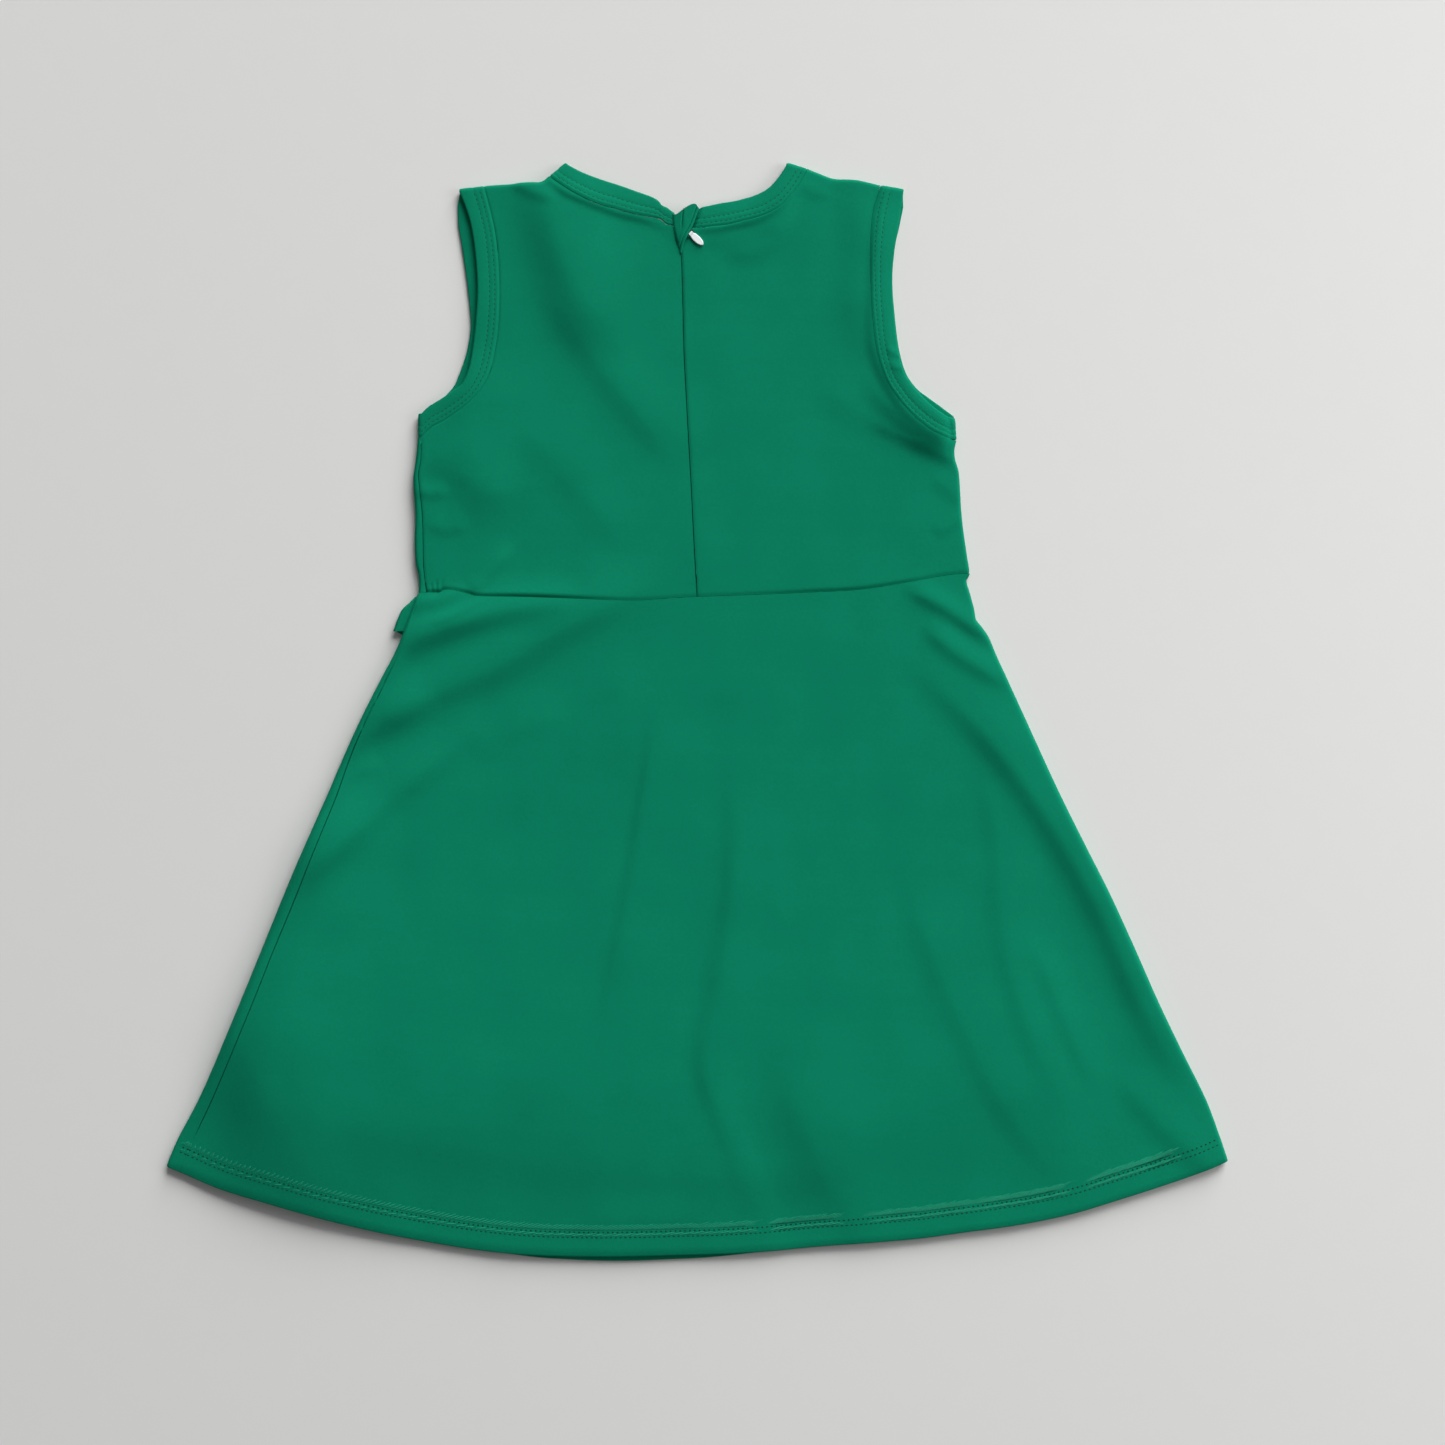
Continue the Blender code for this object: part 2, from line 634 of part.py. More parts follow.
def back_bodice_right(material):
    """Upper right of the back, which also rolls under the right side."""
    side = side_fold(resample(BODICE_RIGHT, SIDE_STEPS), RIGHT_OUT)
    armhole = resample(ARMHOLE_RIGHT_BACK, ARMHOLE_STEPS)[:, :2]
    centre = resample(CENTRE_BACK + (CENTRE_TOP_RIGHT,), CENTRE_STEPS)
    left = joined(centre, resample(NECK_BACK_RIGHT, NECK_STEPS)[:, :2])
    grid = patch(resample(WAIST_BACK_RIGHT, BODICE_COLUMNS),
                 resample(SHOULDER_RIGHT, BODICE_COLUMNS), left, joined(side, armhole))
    armhole_rows = slice(SIDE_STEPS + 1, None)
    trim(grid, "right", armhole_rows)
    trim(grid, "left")
    trim(grid, "bottom")
    grid[SIDE_STEPS, -1, 1] -= SEAM_GAP
    outward = outward_between(*RIGHT_SHOULDER_OUT, BODICE_COLUMNS + 1)
    far = shortened(resample(SHOULDER_SEAM_RIGHT, BODICE_COLUMNS))
    shoulder = rolled_edge(grid[-1], outward, far, from_back=True)
    under = under_turn(grid[:SIDE_STEPS + 1, -1], BOTH_ENDS)
    under[-1, -1, 1] = ARMHOLE_RIGHT_FRONT[0].seam_y - SEAM_GAP
    return cloth_piece("back_bodice_right", (on_back(grid), shoulder, under), CLOTH, material)


def under_turn(fold, level_ends):
    """Return the roll at the right side of the back and the strip that it turns under."""
    outward = side_outward(fold, RIGHT_OUT, level_ends)
    return rolled_edge(fold, outward, fold - outward * UNDER_TURN, from_back=True)


def front_bodice(material):
    """Lower layer of the bodice, which rolls up round the left side to its seam."""
    side = resample(BODICE_LEFT, SIDE_STEPS)
    fold = side_fold(side, LEFT_OUT)
    waist = resample(WAIST_FRONT, 2 * FRONT_COLUMNS)
    centre = resample((waist[FRONT_COLUMNS],) + CENTRE_FRONT[1:], CENTRE_STEPS)
    armhole = resample(ARMHOLE_LEFT_FRONT, ARMHOLE_STEPS)[::-1, :2]
    neck = resample(NECK_FRONT_LEFT, NECK_STEPS)[::-1, :2]
    left_half = patch(waist[:FRONT_COLUMNS + 1], resample(SHOULDER_SEAM_LEFT, FRONT_COLUMNS),
                      joined(fold, armhole), joined(centre, neck))
    trim(left_half, "left", slice(SIDE_STEPS + 1, None))
    trim(left_half, "right", slice(CENTRE_STEPS + 1, None))
    trim(left_half, "bottom")
    trim(left_half, "top")
    left_half[SIDE_STEPS, 0, 1] -= SEAM_GAP
    left_half[CENTRE_STEPS, -1, 1] -= SEAM_GAP
    strip = left_strip(left_half[:SIDE_STEPS + 1, 0], side[:, 2])
    fold = side_fold(resample(BODICE_RIGHT, SIDE_STEPS), RIGHT_OUT)
    seam = under_turn(fold, BOTH_ENDS)[:, -1, :2]
    seam[-1] = (ARMHOLE_RIGHT_FRONT[0].seam_x, ARMHOLE_RIGHT_FRONT[0].seam_y)
    armhole = resample(ARMHOLE_RIGHT_FRONT, ARMHOLE_STEPS)[:, :2]
    neck = resample(NECK_FRONT_RIGHT, NECK_STEPS)[:, :2]
    right_half = patch(waist[FRONT_COLUMNS:], resample(SHOULDER_SEAM_RIGHT, FRONT_COLUMNS),
                       joined(centre, neck), joined(seam, armhole))
    trim(right_half, "left", slice(CENTRE_STEPS + 1, None))
    trim(right_half, "right")
    trim(right_half, "bottom")
    trim(right_half, "top")
    right_half[:CENTRE_STEPS + 1, 0] = left_half[:CENTRE_STEPS + 1, -1]
    halves = (on_front(left_half), on_front(right_half), strip)
    return cloth_piece("front_bodice", halves, CLOTH, material)


def left_strip(fold, seam_x):
    """Return the front's roll round the left side and its strip on the upper layer."""
    seam = np.column_stack([seam_x, fold[:, 1]])
    return rolled_edge(fold, side_outward(fold, LEFT_OUT, BOTH_ENDS), seam, from_back=False)


def back_skirt(material):
    """Upper layer of the skirt, which rolls under the right side."""
    side = resample(SKIRT_LEFT, SKIRT_ROWS)
    left = np.column_stack([side[:, 2], side[:, 1]])[::-1]
    left[0] = HEM_BACK[0]
    right = side_fold(resample(SKIRT_RIGHT, SKIRT_ROWS), RIGHT_OUT)[::-1]
    right[0] = HEM_BACK[-1]
    waist = joined(resample(WAIST_BACK_LEFT, BODICE_COLUMNS),
                   resample(WAIST_BACK_RIGHT, BODICE_COLUMNS))
    grid = patch(resample(HEM_BACK, 2 * BODICE_COLUMNS), waist, left, right)
    under = under_turn(grid[::-1, -1], FIRST_END)
    return cloth_piece("back_skirt", (on_back(grid), under), CLOTH, material)


def front_skirt(material):
    """Lower layer of the skirt, which rolls up round the left side to its seam."""
    side = resample(SKIRT_LEFT, SKIRT_ROWS)
    fold = side_fold(side, LEFT_OUT)[::-1]
    fold[0] = HEM_FRONT[0]
    right_fold = side_fold(resample(SKIRT_RIGHT, SKIRT_ROWS), RIGHT_OUT)
    right_fold[-1] = HEM_BACK[-1]
    right = under_turn(right_fold, FIRST_END)[::-1, -1, :2]
    hem = resample(HEM_FRONT[:-1] + (Edge(*right[0]),), 2 * FRONT_SKIRT_COLUMNS)
    grid = patch(hem, resample(WAIST_FRONT, 2 * FRONT_SKIRT_COLUMNS), fold, right)
    trim(grid, "right")
    rising = grid[::-1, 0]
    strip = rolled_edge(rising, side_outward(rising, LEFT_OUT, FIRST_END),
                        strip_seam(side, rising), from_back=False)
    return cloth_piece("front_skirt", (on_front(grid), strip), CLOTH, material)


def strip_seam(side, fold):
    """Return the seam edge of the skirt's left strip, with its hem corner on the back's hem."""
    seam = np.column_stack([side[:, 2] - SEAM_GAP, fold[:, 1]])
    seam[-1, 1] = HEM_BACK[0].y
    return seam


def band_stations(rows, upper):
    """Return stations of a band that lies on one layer, seam edge first."""
    u = np.linspace(0.0, 1.0, BAND_COLUMNS + 1)[None, :, None]
    points = (1 - u) * rows[:, None, :2] + u * rows[:, None, 2:]
    return on_back(points) if upper else on_front(points, BAND_FRONT_MIDDLE)


def band_roll(row, outward):
    """Return stations where a band rolls from the upper layer down to the lower one."""
    start = band_stations(row[None], upper=True)[0]
    centre = (start[:, 2] + BAND_FRONT_MIDDLE) / 2
    radius = (start[:, 2] - BAND_FRONT_MIDDLE) / 2
    way = np.array(outward)
    stations = []
    for step in range(1, ROLL_STEPS + 1):
        angle = pi * step / ROLL_STEPS
        place = start[:, :2] + way * (radius * sin(angle))[:, None]
        stations.append(np.column_stack([place, centre + radius * cos(angle)]))
    return np.stack(stations)


def neck_band(material):
    """Band round the neck, open at the zip, rolled over at both shoulders."""
    back_left = resample(NECK_BACK_LEFT, NECK_STEPS)
    back_right = resample(NECK_BACK_RIGHT, NECK_STEPS)
    front = joined(resample(NECK_FRONT_LEFT, NECK_STEPS), resample(NECK_FRONT_RIGHT, NECK_STEPS))
    stations = np.concatenate([
        band_stations(back_left, upper=True),
        band_roll(back_left[-1], LEFT_SHOULDER_OUT[1]),
        band_stations(front, upper=False),
        band_roll(back_right[-1], RIGHT_SHOULDER_OUT[0])[::-1],
        band_stations(back_right[::-1], upper=True),
    ])
    return cloth_piece("neck_band", (stations,), BAND_CLOTH, material)


def armhole_band(name, back, front, shoulder_out, side_out, material):
    """Closed band round one armhole, rolled over at the shoulder and at the underarm."""
    down = band_roll(back[-1], shoulder_out)
    up = band_roll(back[0], side_out)[::-1]
    under = band_stations(front, upper=False)
    if np.linalg.norm(under[-1, 0] - up[0, 0]) < SEAM_GAP:
        under = under[:-1]
    over = band_stations(back, upper=True)
    stations = np.concatenate([over, down, under, up, over[:1]])
    return cloth_piece(name, (stations,), BAND_CLOTH, material)


def zip_tape(name, side, material):
    """One tape of the closed zip, under the edge of its half of the back."""
    line = resample(CENTRE_BACK, CENTRE_STEPS)
    near = line + np.array([side * SEAM_GAP / 2, 0.0])
    far = line + np.array([side * TAPE_WIDTH, 0.0])
    points = on_back(np.stack([near, far], axis=1))
    points[..., 2] -= TAPE_DROP
    return cloth_piece(name, (points,), TAPE_CLOTH, material)


def zip_flap(material):
    """Turned-out end of the zip, raised over the slider and narrowing to the zip line."""
    left, right = resample(FLAP_LEFT, FLAP_ROWS), resample(FLAP_RIGHT, FLAP_ROWS)
    top = resample(FLAP_TOP, FLAP_COLUMNS)
    u = np.linspace(0.0, 1.0, FLAP_COLUMNS + 1)
    bottom = (1 - u[:, None]) * left[0] + u[:, None] * right[0]
    grid = patch(bottom, top, left, right)
    reach = np.linalg.norm(grid - grid[:, :1], axis=-1) / FLAP_RISE_WIDTH
    middle = FLAP_EDGE_MIDDLE + FLAP_RISE * np.sin(pi / 2 * np.clip(reach, 0.0, 1.0))
    points = np.concatenate([grid, middle[..., None]], axis=-1)
    return cloth_piece("zip_flap", (points,), FLAP_CLOTH, material)


def hinge_frame():
    """Return the matrix whose X runs down the pull, Y along its hinge and Z up."""
    axes = Matrix((PULL_WAY, HINGE_WAY, Vector((0.0, 0.0, 1.0)))).transposed().to_4x4()
    return Matrix.Translation(PIVOT * MM) @ axes


def block(mesh, centre, size):
    """Add a box to an edit mesh, centre and size in millimetres."""
    cube = bmesh.ops.create_cube(mesh, size=1.0)
    bmesh.ops.scale(mesh, vec=Vector(size) * MM, verts=cube["verts"])
    bmesh.ops.translate(mesh, vec=Vector(centre) * MM, verts=cube["verts"])


def rod(mesh, radius, length, sides):
    """Add a closed cylinder along the hinge, centred on the pivot."""
    turn = Matrix.Rotation(pi / 2, 4, "X")
    bmesh.ops.create_cone(mesh, cap_ends=True, segments=sides, radius1=radius * MM,
                          radius2=radius * MM, depth=length * MM, matrix=turn)


def tool_piece(name, mesh, material):
    """Make a wire-shown piece that only a Boolean uses."""
    piece = object_from(name, mesh, material)
    piece.hide_render = True
    piece.display_type = "WIRE"
    piece.matrix_world = hinge_frame()
    return piece


def cut_or_join(piece, tool, operation):
    """Add an exact Boolean to a piece."""
    step = piece.modifiers.new(tool.name, "BOOLEAN")
    step.operation = operation
    step.solver = "EXACT"
    step.object = tool


def zip_slider(material):
    """Slider body with two arms that hold the pull's pin."""
    mesh = bmesh.new()
    block(mesh, (-SLIDER_BACK, 0.0, 0.0), SLIDER_SIZE)
    bmesh.ops.bevel(mesh, geom=mesh.edges[:], offset=0.25 * MM, segments=1, profile=0.5,
                    affect="EDGES")
    slider = object_from("zip_slider", mesh, material)
    slider.matrix_world = hinge_frame()
    for name, way in (("arm_low", -1.0), ("arm_high", 1.0)):
        arm = bmesh.new()
        block(arm, (0.5 - ARM_LENGTH / 2, way * ARM_OUT, 0.0), (ARM_LENGTH, ARM_WIDTH, ARM_HEIGHT))
        cut_or_join(slider, tool_piece(name, arm, material), "UNION")
    pin = bmesh.new()
    rod(pin, PIN_RADIUS, 2 * ARM_OUT, 8)
    cut_or_join(slider, tool_piece("pin", pin, material), "UNION")
    return slider


def zip_pull(material):
    """Oval pull with an eye at its upper end, turning on the slider's pin."""
    mesh = bmesh.new()
    ring = bmesh.ops.create_circle(mesh, cap_ends=True, segments=28, radius=1.0)
    bmesh.ops.scale(mesh, vec=(PULL_HALF_LENGTH * MM, PULL_HALF_WIDTH * MM, 1.0), verts=ring["verts"])
    low = -PULL_DROP - PULL_THICK / 2
    bmesh.ops.translate(mesh, vec=(PULL_CENTRE * MM, 0.0, low * MM), verts=mesh.verts)
    lifted = bmesh.ops.extrude_face_region(mesh, geom=mesh.faces[:])
    raised = [item for item in lifted["geom"] if isinstance(item, bmesh.types.BMVert)]
    bmesh.ops.translate(mesh, vec=(0.0, 0.0, PULL_THICK * MM), verts=raised)
    bmesh.ops.recalc_face_normals(mesh, faces=mesh.faces)
    rims = [edge for edge in mesh.edges if abs(edge.verts[0].co.z - edge.verts[1].co.z) < WELD]
    bmesh.ops.bevel(mesh, geom=rims, offset=0.3 * MM, segments=2, profile=0.5, affect="EDGES")
    pull = object_from("zip_pull", mesh, material)
    pull.matrix_world = hinge_frame()
    eye = bmesh.new()
    rod(eye, EYE_RADIUS, EYE_LENGTH, 16)
    cut_or_join(pull, tool_piece("eye", eye, material), "UNION")
    hole = bmesh.new()
    rod(hole, EYE_HOLE_RADIUS, 2 * EYE_LENGTH, 16)
    cut_or_join(pull, tool_piece("eye_hole", hole, material), "DIFFERENCE")
    return pull


def waist_tab(material):
    """Short strip folded double at its left edge and open at its lower end."""
    low, high = TAB_CLOTH / 2, TAB_TOP_MIDDLE
    radius, centre = (high - low) / 2, (high + low) / 2
    rows = []
    for row in TAB_ROWS:
        fold_x = row.outer + radius + low
        points = [(row.inner, row.y, low)]
        for step in range(ROLL_STEPS + 1):
            angle = pi * step / ROLL_STEPS
            y = row.y + (row.top_y - row.y) * step / ROLL_STEPS
            points.append((fold_x - radius * sin(angle), y, centre - radius * cos(angle)))
        points.append((row.inner, row.top_y, high))
        rows.append(points)
    return cloth_piece("waist_tab", (np.array(rows),), TAB_CLOTH, material)


def main():
    """Build every piece of the dress."""
    clear_scene()
    knit = finish_of("green_knit", GREEN, 0.75)
    band = finish_of("green_band", GREEN, 0.7)
    tape = finish_of("green_tape", DARK_GREEN, 0.8)
    painted = finish_of("green_slider", DARK_GREEN, 0.4)
    white = finish_of("white_pull", WHITE, 0.3)
    back_bodice_left(knit)
    back_bodice_right(knit)
    front_bodice(knit)
    back_skirt(knit)
    front_skirt(knit)
    neck_band(band)
    armhole_band("armhole_band_left", resample(ARMHOLE_LEFT_BACK, ARMHOLE_STEPS),
                 resample(ARMHOLE_LEFT_FRONT, ARMHOLE_STEPS), LEFT_SHOULDER_OUT[0], LEFT_OUT, band)
    armhole_band("armhole_band_right", resample(ARMHOLE_RIGHT_BACK, ARMHOLE_STEPS),
                 resample(ARMHOLE_RIGHT_FRONT, ARMHOLE_STEPS)[::-1], RIGHT_SHOULDER_OUT[1],
                 RIGHT_OUT, band)
    zip_flap(band)
    zip_tape("zip_tape_left", -1.0, tape)
    zip_tape("zip_tape_right", 1.0, tape)
    zip_slider(painted)
    zip_pull(white)
    waist_tab(band)


main()
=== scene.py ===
"""Child's sleeveless athletic dress in green double knit, laid flat with its back up.

Every cloth piece is a thin shell that lies on its solid's form: the upper layer is the back, the
lower one the front, and the cloth rolls over between them at the sides, shoulders and underarms.
Lengths are in millimetres until a mesh is written. X runs right, Y to the neck and Z up.
"""

import logging
from dataclasses import dataclass, replace
from enum import Enum
from math import pi
from typing import Callable, NamedTuple, Optional, Sequence, Union

import bmesh
import bpy
import numpy as np
from mathutils import Matrix, Vector


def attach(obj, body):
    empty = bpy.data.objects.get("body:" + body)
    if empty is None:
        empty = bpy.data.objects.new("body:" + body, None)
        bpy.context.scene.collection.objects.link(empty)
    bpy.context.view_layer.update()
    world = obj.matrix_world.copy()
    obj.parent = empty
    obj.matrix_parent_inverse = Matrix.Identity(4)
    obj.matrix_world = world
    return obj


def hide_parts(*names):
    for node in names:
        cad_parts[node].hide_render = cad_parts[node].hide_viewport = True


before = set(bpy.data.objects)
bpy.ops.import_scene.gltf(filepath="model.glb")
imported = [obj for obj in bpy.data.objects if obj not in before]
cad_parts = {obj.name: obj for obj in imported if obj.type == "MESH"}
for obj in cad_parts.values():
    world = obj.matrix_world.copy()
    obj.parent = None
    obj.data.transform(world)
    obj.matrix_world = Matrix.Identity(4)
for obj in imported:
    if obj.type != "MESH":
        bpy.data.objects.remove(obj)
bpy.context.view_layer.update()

LOG = logging.getLogger("dress")
MM = 0.001
WELD = 0.000002
BODY = "dress"
CURVE_STEPS = 12
STITCHES_AT_ONCE = 24
LAY_GRIDS = ("place", "way", "turn", "rise", "grain")
TRIM_SQUARE_MIN = 0.3
HEM_SPACE = 0.03


class Turn(float, Enum):
    """How far the cloth has rolled on each layer."""

    UPPER = 0.0
    LOWER = pi


class Side(Enum):
    """One side of a grid of points."""

    LEFT = "left"
    RIGHT = "right"
    BOTTOM = "bottom"
    TOP = "top"


class Spot(NamedTuple):
    """A place on the surface."""

    x: float
    y: float


class SideRow(NamedTuple):
    """A row of a rolled side: its silhouette, and where the seam lies on the upper layer."""

    edge: float
    y: float
    seam: float


class BandRow(NamedTuple):
    """A station of a band: its sewn edge and its free edge."""

    seam_x: float
    seam_y: float
    free_x: float
    free_y: float


class TabRow(NamedTuple):
    """A row of the waist tab: folded edge and its height, inner edge, and the upper layer's height."""

    outer: float
    y: float
    inner: float
    top_y: float


class Crease(NamedTuple):
    """The steep side of a fold, traced so that its crest lies on the left of the way.

    Attributes:
        rise: The crest's height; a valley's is below zero.
        width: The width of the steep side.
        back: The width of the gentle side.
        path: Places along the steepest line.
    """

    rise: float
    width: float
    back: float
    path: tuple[Spot, ...]


class Mottle(NamedTuple):
    """An uneven shade: its scale, its detail, and how much it changes the brightness."""

    scale: float
    detail: float
    shade: float


class Ripple(NamedTuple):
    """A long low wave of loosely laid cloth."""

    way_x: float
    way_y: float
    length: float
    height: float


class Groove(NamedTuple):
    """A smooth dent in a section: how deep, where, and how wide."""

    depth: float
    at: float
    width: float

    def along(self, run: np.ndarray) -> np.ndarray:
        """Return how deep it is at each place of a section."""
        return self.depth * np.exp(-(((run - self.at) / self.width) ** 2))


def table(kind: type, *numbers: float) -> tuple:
    """Group numbers into rows.

    Args:
        kind: The kind of row.
        numbers: The rows' numbers, one row after another.

    Returns:
        The rows.
    """
    width = len(kind._fields)
    return tuple(kind(*numbers[at:at + width]) for at in range(0, len(numbers), width))


def creases(*rows: Sequence[float]) -> tuple[Crease, ...]:
    """Read creases, each from its rise, width and back and then the places of its path."""
    return tuple(Crease(*row[:3], table(Spot, *row[3:])) for row in rows)


BODICE_LEFT = table(
    SideRow,
    -153.2, 65.6, -148.6, -153.0, 70.4, -149.3, -153.4, 75.9, -149.9, -154.8, 82.0, -150.4,
    -155.4, 93.0, -150.6, -155.1, 108.4, -151.0, -156.0, 124.0, -152.5, -156.0, 131.0, -153.1,
    -154.8, 138.6, -151.8, -153.6, 151.3, -151.6,
)
BODICE_RIGHT = table(
    Spot,
    150.2, 76.2, 148.5, 86.4, 145.8, 106.2, 144.7, 123.2, 144.0, 132.0, 142.0, 138.6,
    141.5, 144.5, 142.5, 149.5,
)
SKIRT_LEFT = table(
    SideRow,
    -153.0, 65.6, -148.6, -154.7, 62.2, -152.0, -157.9, 53.4, -155.5, -161.4, 42.9, -158.9,
    -166.4, 31.4, -163.4, -176.0, 13.2, -172.3, -192.0, -19.8, -188.0, -204.1, -48.4, -198.2,
    -215.6, -75.9, -208.9, -227.7, -103.4, -220.1, -238.7, -130.9, -231.4, -249.7, -158.4, -242.1,
    -261.2, -185.9, -253.6, -273.9, -213.4, -266.0, -285.5, -234.9, -276.6, -292.1, -250.0, -283.2,
)
SKIRT_RIGHT = table(
    Spot,
    150.2, 76.2, 148.3, 72.0, 150.2, 64.9, 152.4, 56.7, 153.7, 49.8, 157.3, 45.0,
    161.2, 39.2, 165.6, 28.6, 175.7, 6.6, 188.1, -20.9, 200.8, -48.4, 214.5, -75.9,
    228.3, -103.4, 240.9, -130.9, 253.0, -158.4, 266.2, -185.9, 280.0, -213.4, 288.2, -235.4,
    292.1, -247.0,
)
WAIST_BACK_LEFT = table(
    Spot,
    -148.6, 65.6, -144.4, 65.6, -141.0, 65.8, -139.9, 66.7, -137.6, 67.1, -133.1, 66.7,
    -124.9, 64.8, -119.7, 63.5, -97.4, 63.1, -75.4, 62.4, -53.4, 61.6, -33.6, 61.3,
    -14.3, 62.5, 0.0, 63.3,
)
WAIST_BACK_RIGHT = table(
    Spot,
    0.0, 63.3, 36.3, 64.6, 62.2, 65.7, 88.6, 67.1, 106.2, 69.6, 120.5, 72.1,
    137.0, 75.1, 148.2, 76.2,
)
WAIST_FRONT = table(
    Spot,
    -151.2, 65.6, -75.0, 62.8, 0.0, 63.0, 75.0, 66.8, 142.2, 76.2,
)
HEM_BACK = table(
    Spot,
    -283.2, -253.6, -262.4, -262.2, -234.9, -270.2, -207.4, -278.0, -179.9, -285.0, -152.4, -290.6,
    -124.9, -295.3, -97.4, -298.3, -69.9, -299.5, -42.4, -299.6, -14.9, -299.0, 12.7, -298.2,
    40.2, -296.6, 67.7, -294.0, 95.2, -291.9, 122.7, -289.6, 150.2, -285.8, 177.7, -282.0,
    205.2, -276.4, 232.7, -268.2, 260.2, -259.3, 279.4, -252.4, 290.1, -247.8,
)
HEM_FRONT = table(
    Spot,
    -290.1, -250.8, -262.4, -262.0, -207.4, -277.6, -152.4, -290.2, -97.4, -299.3, -69.9, -301.6,
    -42.4, -302.4, -14.9, -301.5, 12.7, -299.9, 67.7, -293.9, 122.7, -289.2, 177.7, -281.6,
    232.7, -267.8,
)
SHOULDER_LEFT = table(
    Spot,
    -116.8, 287.5, -108.4, 288.1, -93.0, 288.5, -85.5, 288.5, -81.8, 290.2, -79.0, 292.7,
)
SHOULDER_RIGHT = table(
    Spot,
    59.9, 296.9, 63.8, 295.4, 71.4, 292.4, 75.6, 291.3, 86.3, 290.7, 94.3, 289.1,
    100.5, 287.5,
)
SHOULDER_SEAM_LEFT = table(
    Spot,
    -118.2, 279.6, -108.5, 280.0, -93.0, 281.0, -83.5, 283.0, -73.5, 286.9,
)
SHOULDER_SEAM_RIGHT = table(
    Spot,
    57.8, 289.2, 62.5, 287.2, 70.5, 284.4, 75.2, 283.4, 86.2, 282.8, 94.2, 281.2,
    100.9, 279.6,
)
LEFT_SHOULDER_OUT = ((-0.115, 0.993), (-0.69, 0.724))
RIGHT_SHOULDER_OUT = ((0.26, 0.966), (0.16, 0.987))
LEFT_OUT = (-1.0, 0.0)
RIGHT_OUT = (1.0, 0.0)
CENTRE_BACK = table(
    Spot,
    0.0, 63.3, -1.7, 94.1, -3.3, 126.0, -5.5, 165.6, -7.2, 199.1, -8.0, 232.1,
    -9.1, 254.1,
)
CENTRE_TOP_LEFT = Spot(-12.9, 267.3)
CENTRE_TOP_RIGHT = Spot(-11.9, 265.2)
CENTRE_FRONT = table(Spot, -5.0, 140.0, -9.8, 220.5)
NECK_BACK_LEFT = table(
    BandRow,
    -12.6, 267.4, -12.6, 274.2, -16.4, 268.0, -16.8, 277.3, -18.3, 269.4, -19.6, 278.5,
    -20.3, 270.9, -21.5, 281.0, -24.6, 271.9, -25.2, 283.2, -35.8, 273.9, -32.5, 285.8,
    -45.7, 276.7, -42.4, 289.3, -55.8, 279.4, -52.3, 292.4, -68.2, 285.5, -62.7, 296.3,
    -79.0, 292.7, -70.7, 300.5,
)
NECK_BACK_RIGHT = table(
    BandRow,
    -11.9, 265.2, -11.2, 273.8, -1.7, 265.9, -2.8, 276.1, 15.4, 267.3, 12.1, 279.4,
    25.3, 269.5, 20.9, 280.8, 35.8, 272.2, 30.8, 283.5, 42.9, 275.6, 37.4, 286.6,
    47.9, 279.4, 41.2, 289.6, 54.8, 288.0, 45.2, 294.4, 59.9, 296.9, 48.9, 300.1,
)
NECK_FRONT = table(
    BandRow,
    -73.5, 286.9, -65.3, 294.7, -69.5, 276.0, -58.6, 280.6, -62.5, 259.5, -52.2, 265.2,
    -51.5, 243.5, -43.2, 252.0, -37.5, 230.5, -31.7, 240.8, -22.5, 222.8, -19.5, 234.2,
    -9.8, 220.5, -9.8, 232.3, 3.0, 222.8, 0.0, 234.2, 18.0, 230.5, 12.2, 240.8,
    32.0, 243.5, 23.7, 252.0, 43.5, 260.5, 33.0, 265.8, 51.5, 276.5, 40.6, 280.7,
    57.8, 289.2, 46.8, 292.4,
)
NECK_FRONT_MIDDLE = 6
ARMHOLE_LEFT_BACK = table(
    BandRow,
    -151.6, 151.3, -151.4, 164.2, -146.6, 156.2, -147.0, 168.3, -140.8, 159.2, -141.2, 171.8,
    -132.3, 164.5, -134.8, 176.0, -124.9, 170.2, -129.4, 180.0, -119.4, 176.6, -127.0, 184.4,
    -115.0, 184.3, -125.1, 190.3, -112.2, 193.1, -123.5, 199.1, -109.5, 210.1, -121.7, 214.5,
    -108.6, 229.4, -120.7, 232.1, -109.2, 247.5, -121.8, 250.8, -111.1, 264.0, -124.2, 267.3,
    -114.0, 277.0, -127.6, 278.5, -116.8, 287.5, -130.6, 285.8,
)
ARMHOLE_LEFT_FRONT = table(
    BandRow,
    -118.2, 279.6, -131.9, 279.0, -118.6, 268.5, -131.5, 268.4, -117.2, 257.0, -129.8, 258.0,
    -115.4, 245.0, -128.2, 247.5, -113.8, 232.5, -126.5, 234.9, -112.4, 218.0, -124.9, 218.4,
    -112.6, 208.0, -124.9, 210.1, -115.6, 193.5, -127.1, 197.5, -120.8, 180.0, -131.5, 184.8,
    -125.8, 171.6, -134.6, 178.6, -134.0, 163.0, -140.3, 172.8, -142.8, 156.6, -146.9, 168.2,
    -151.6, 151.3, -151.4, 164.2,
)
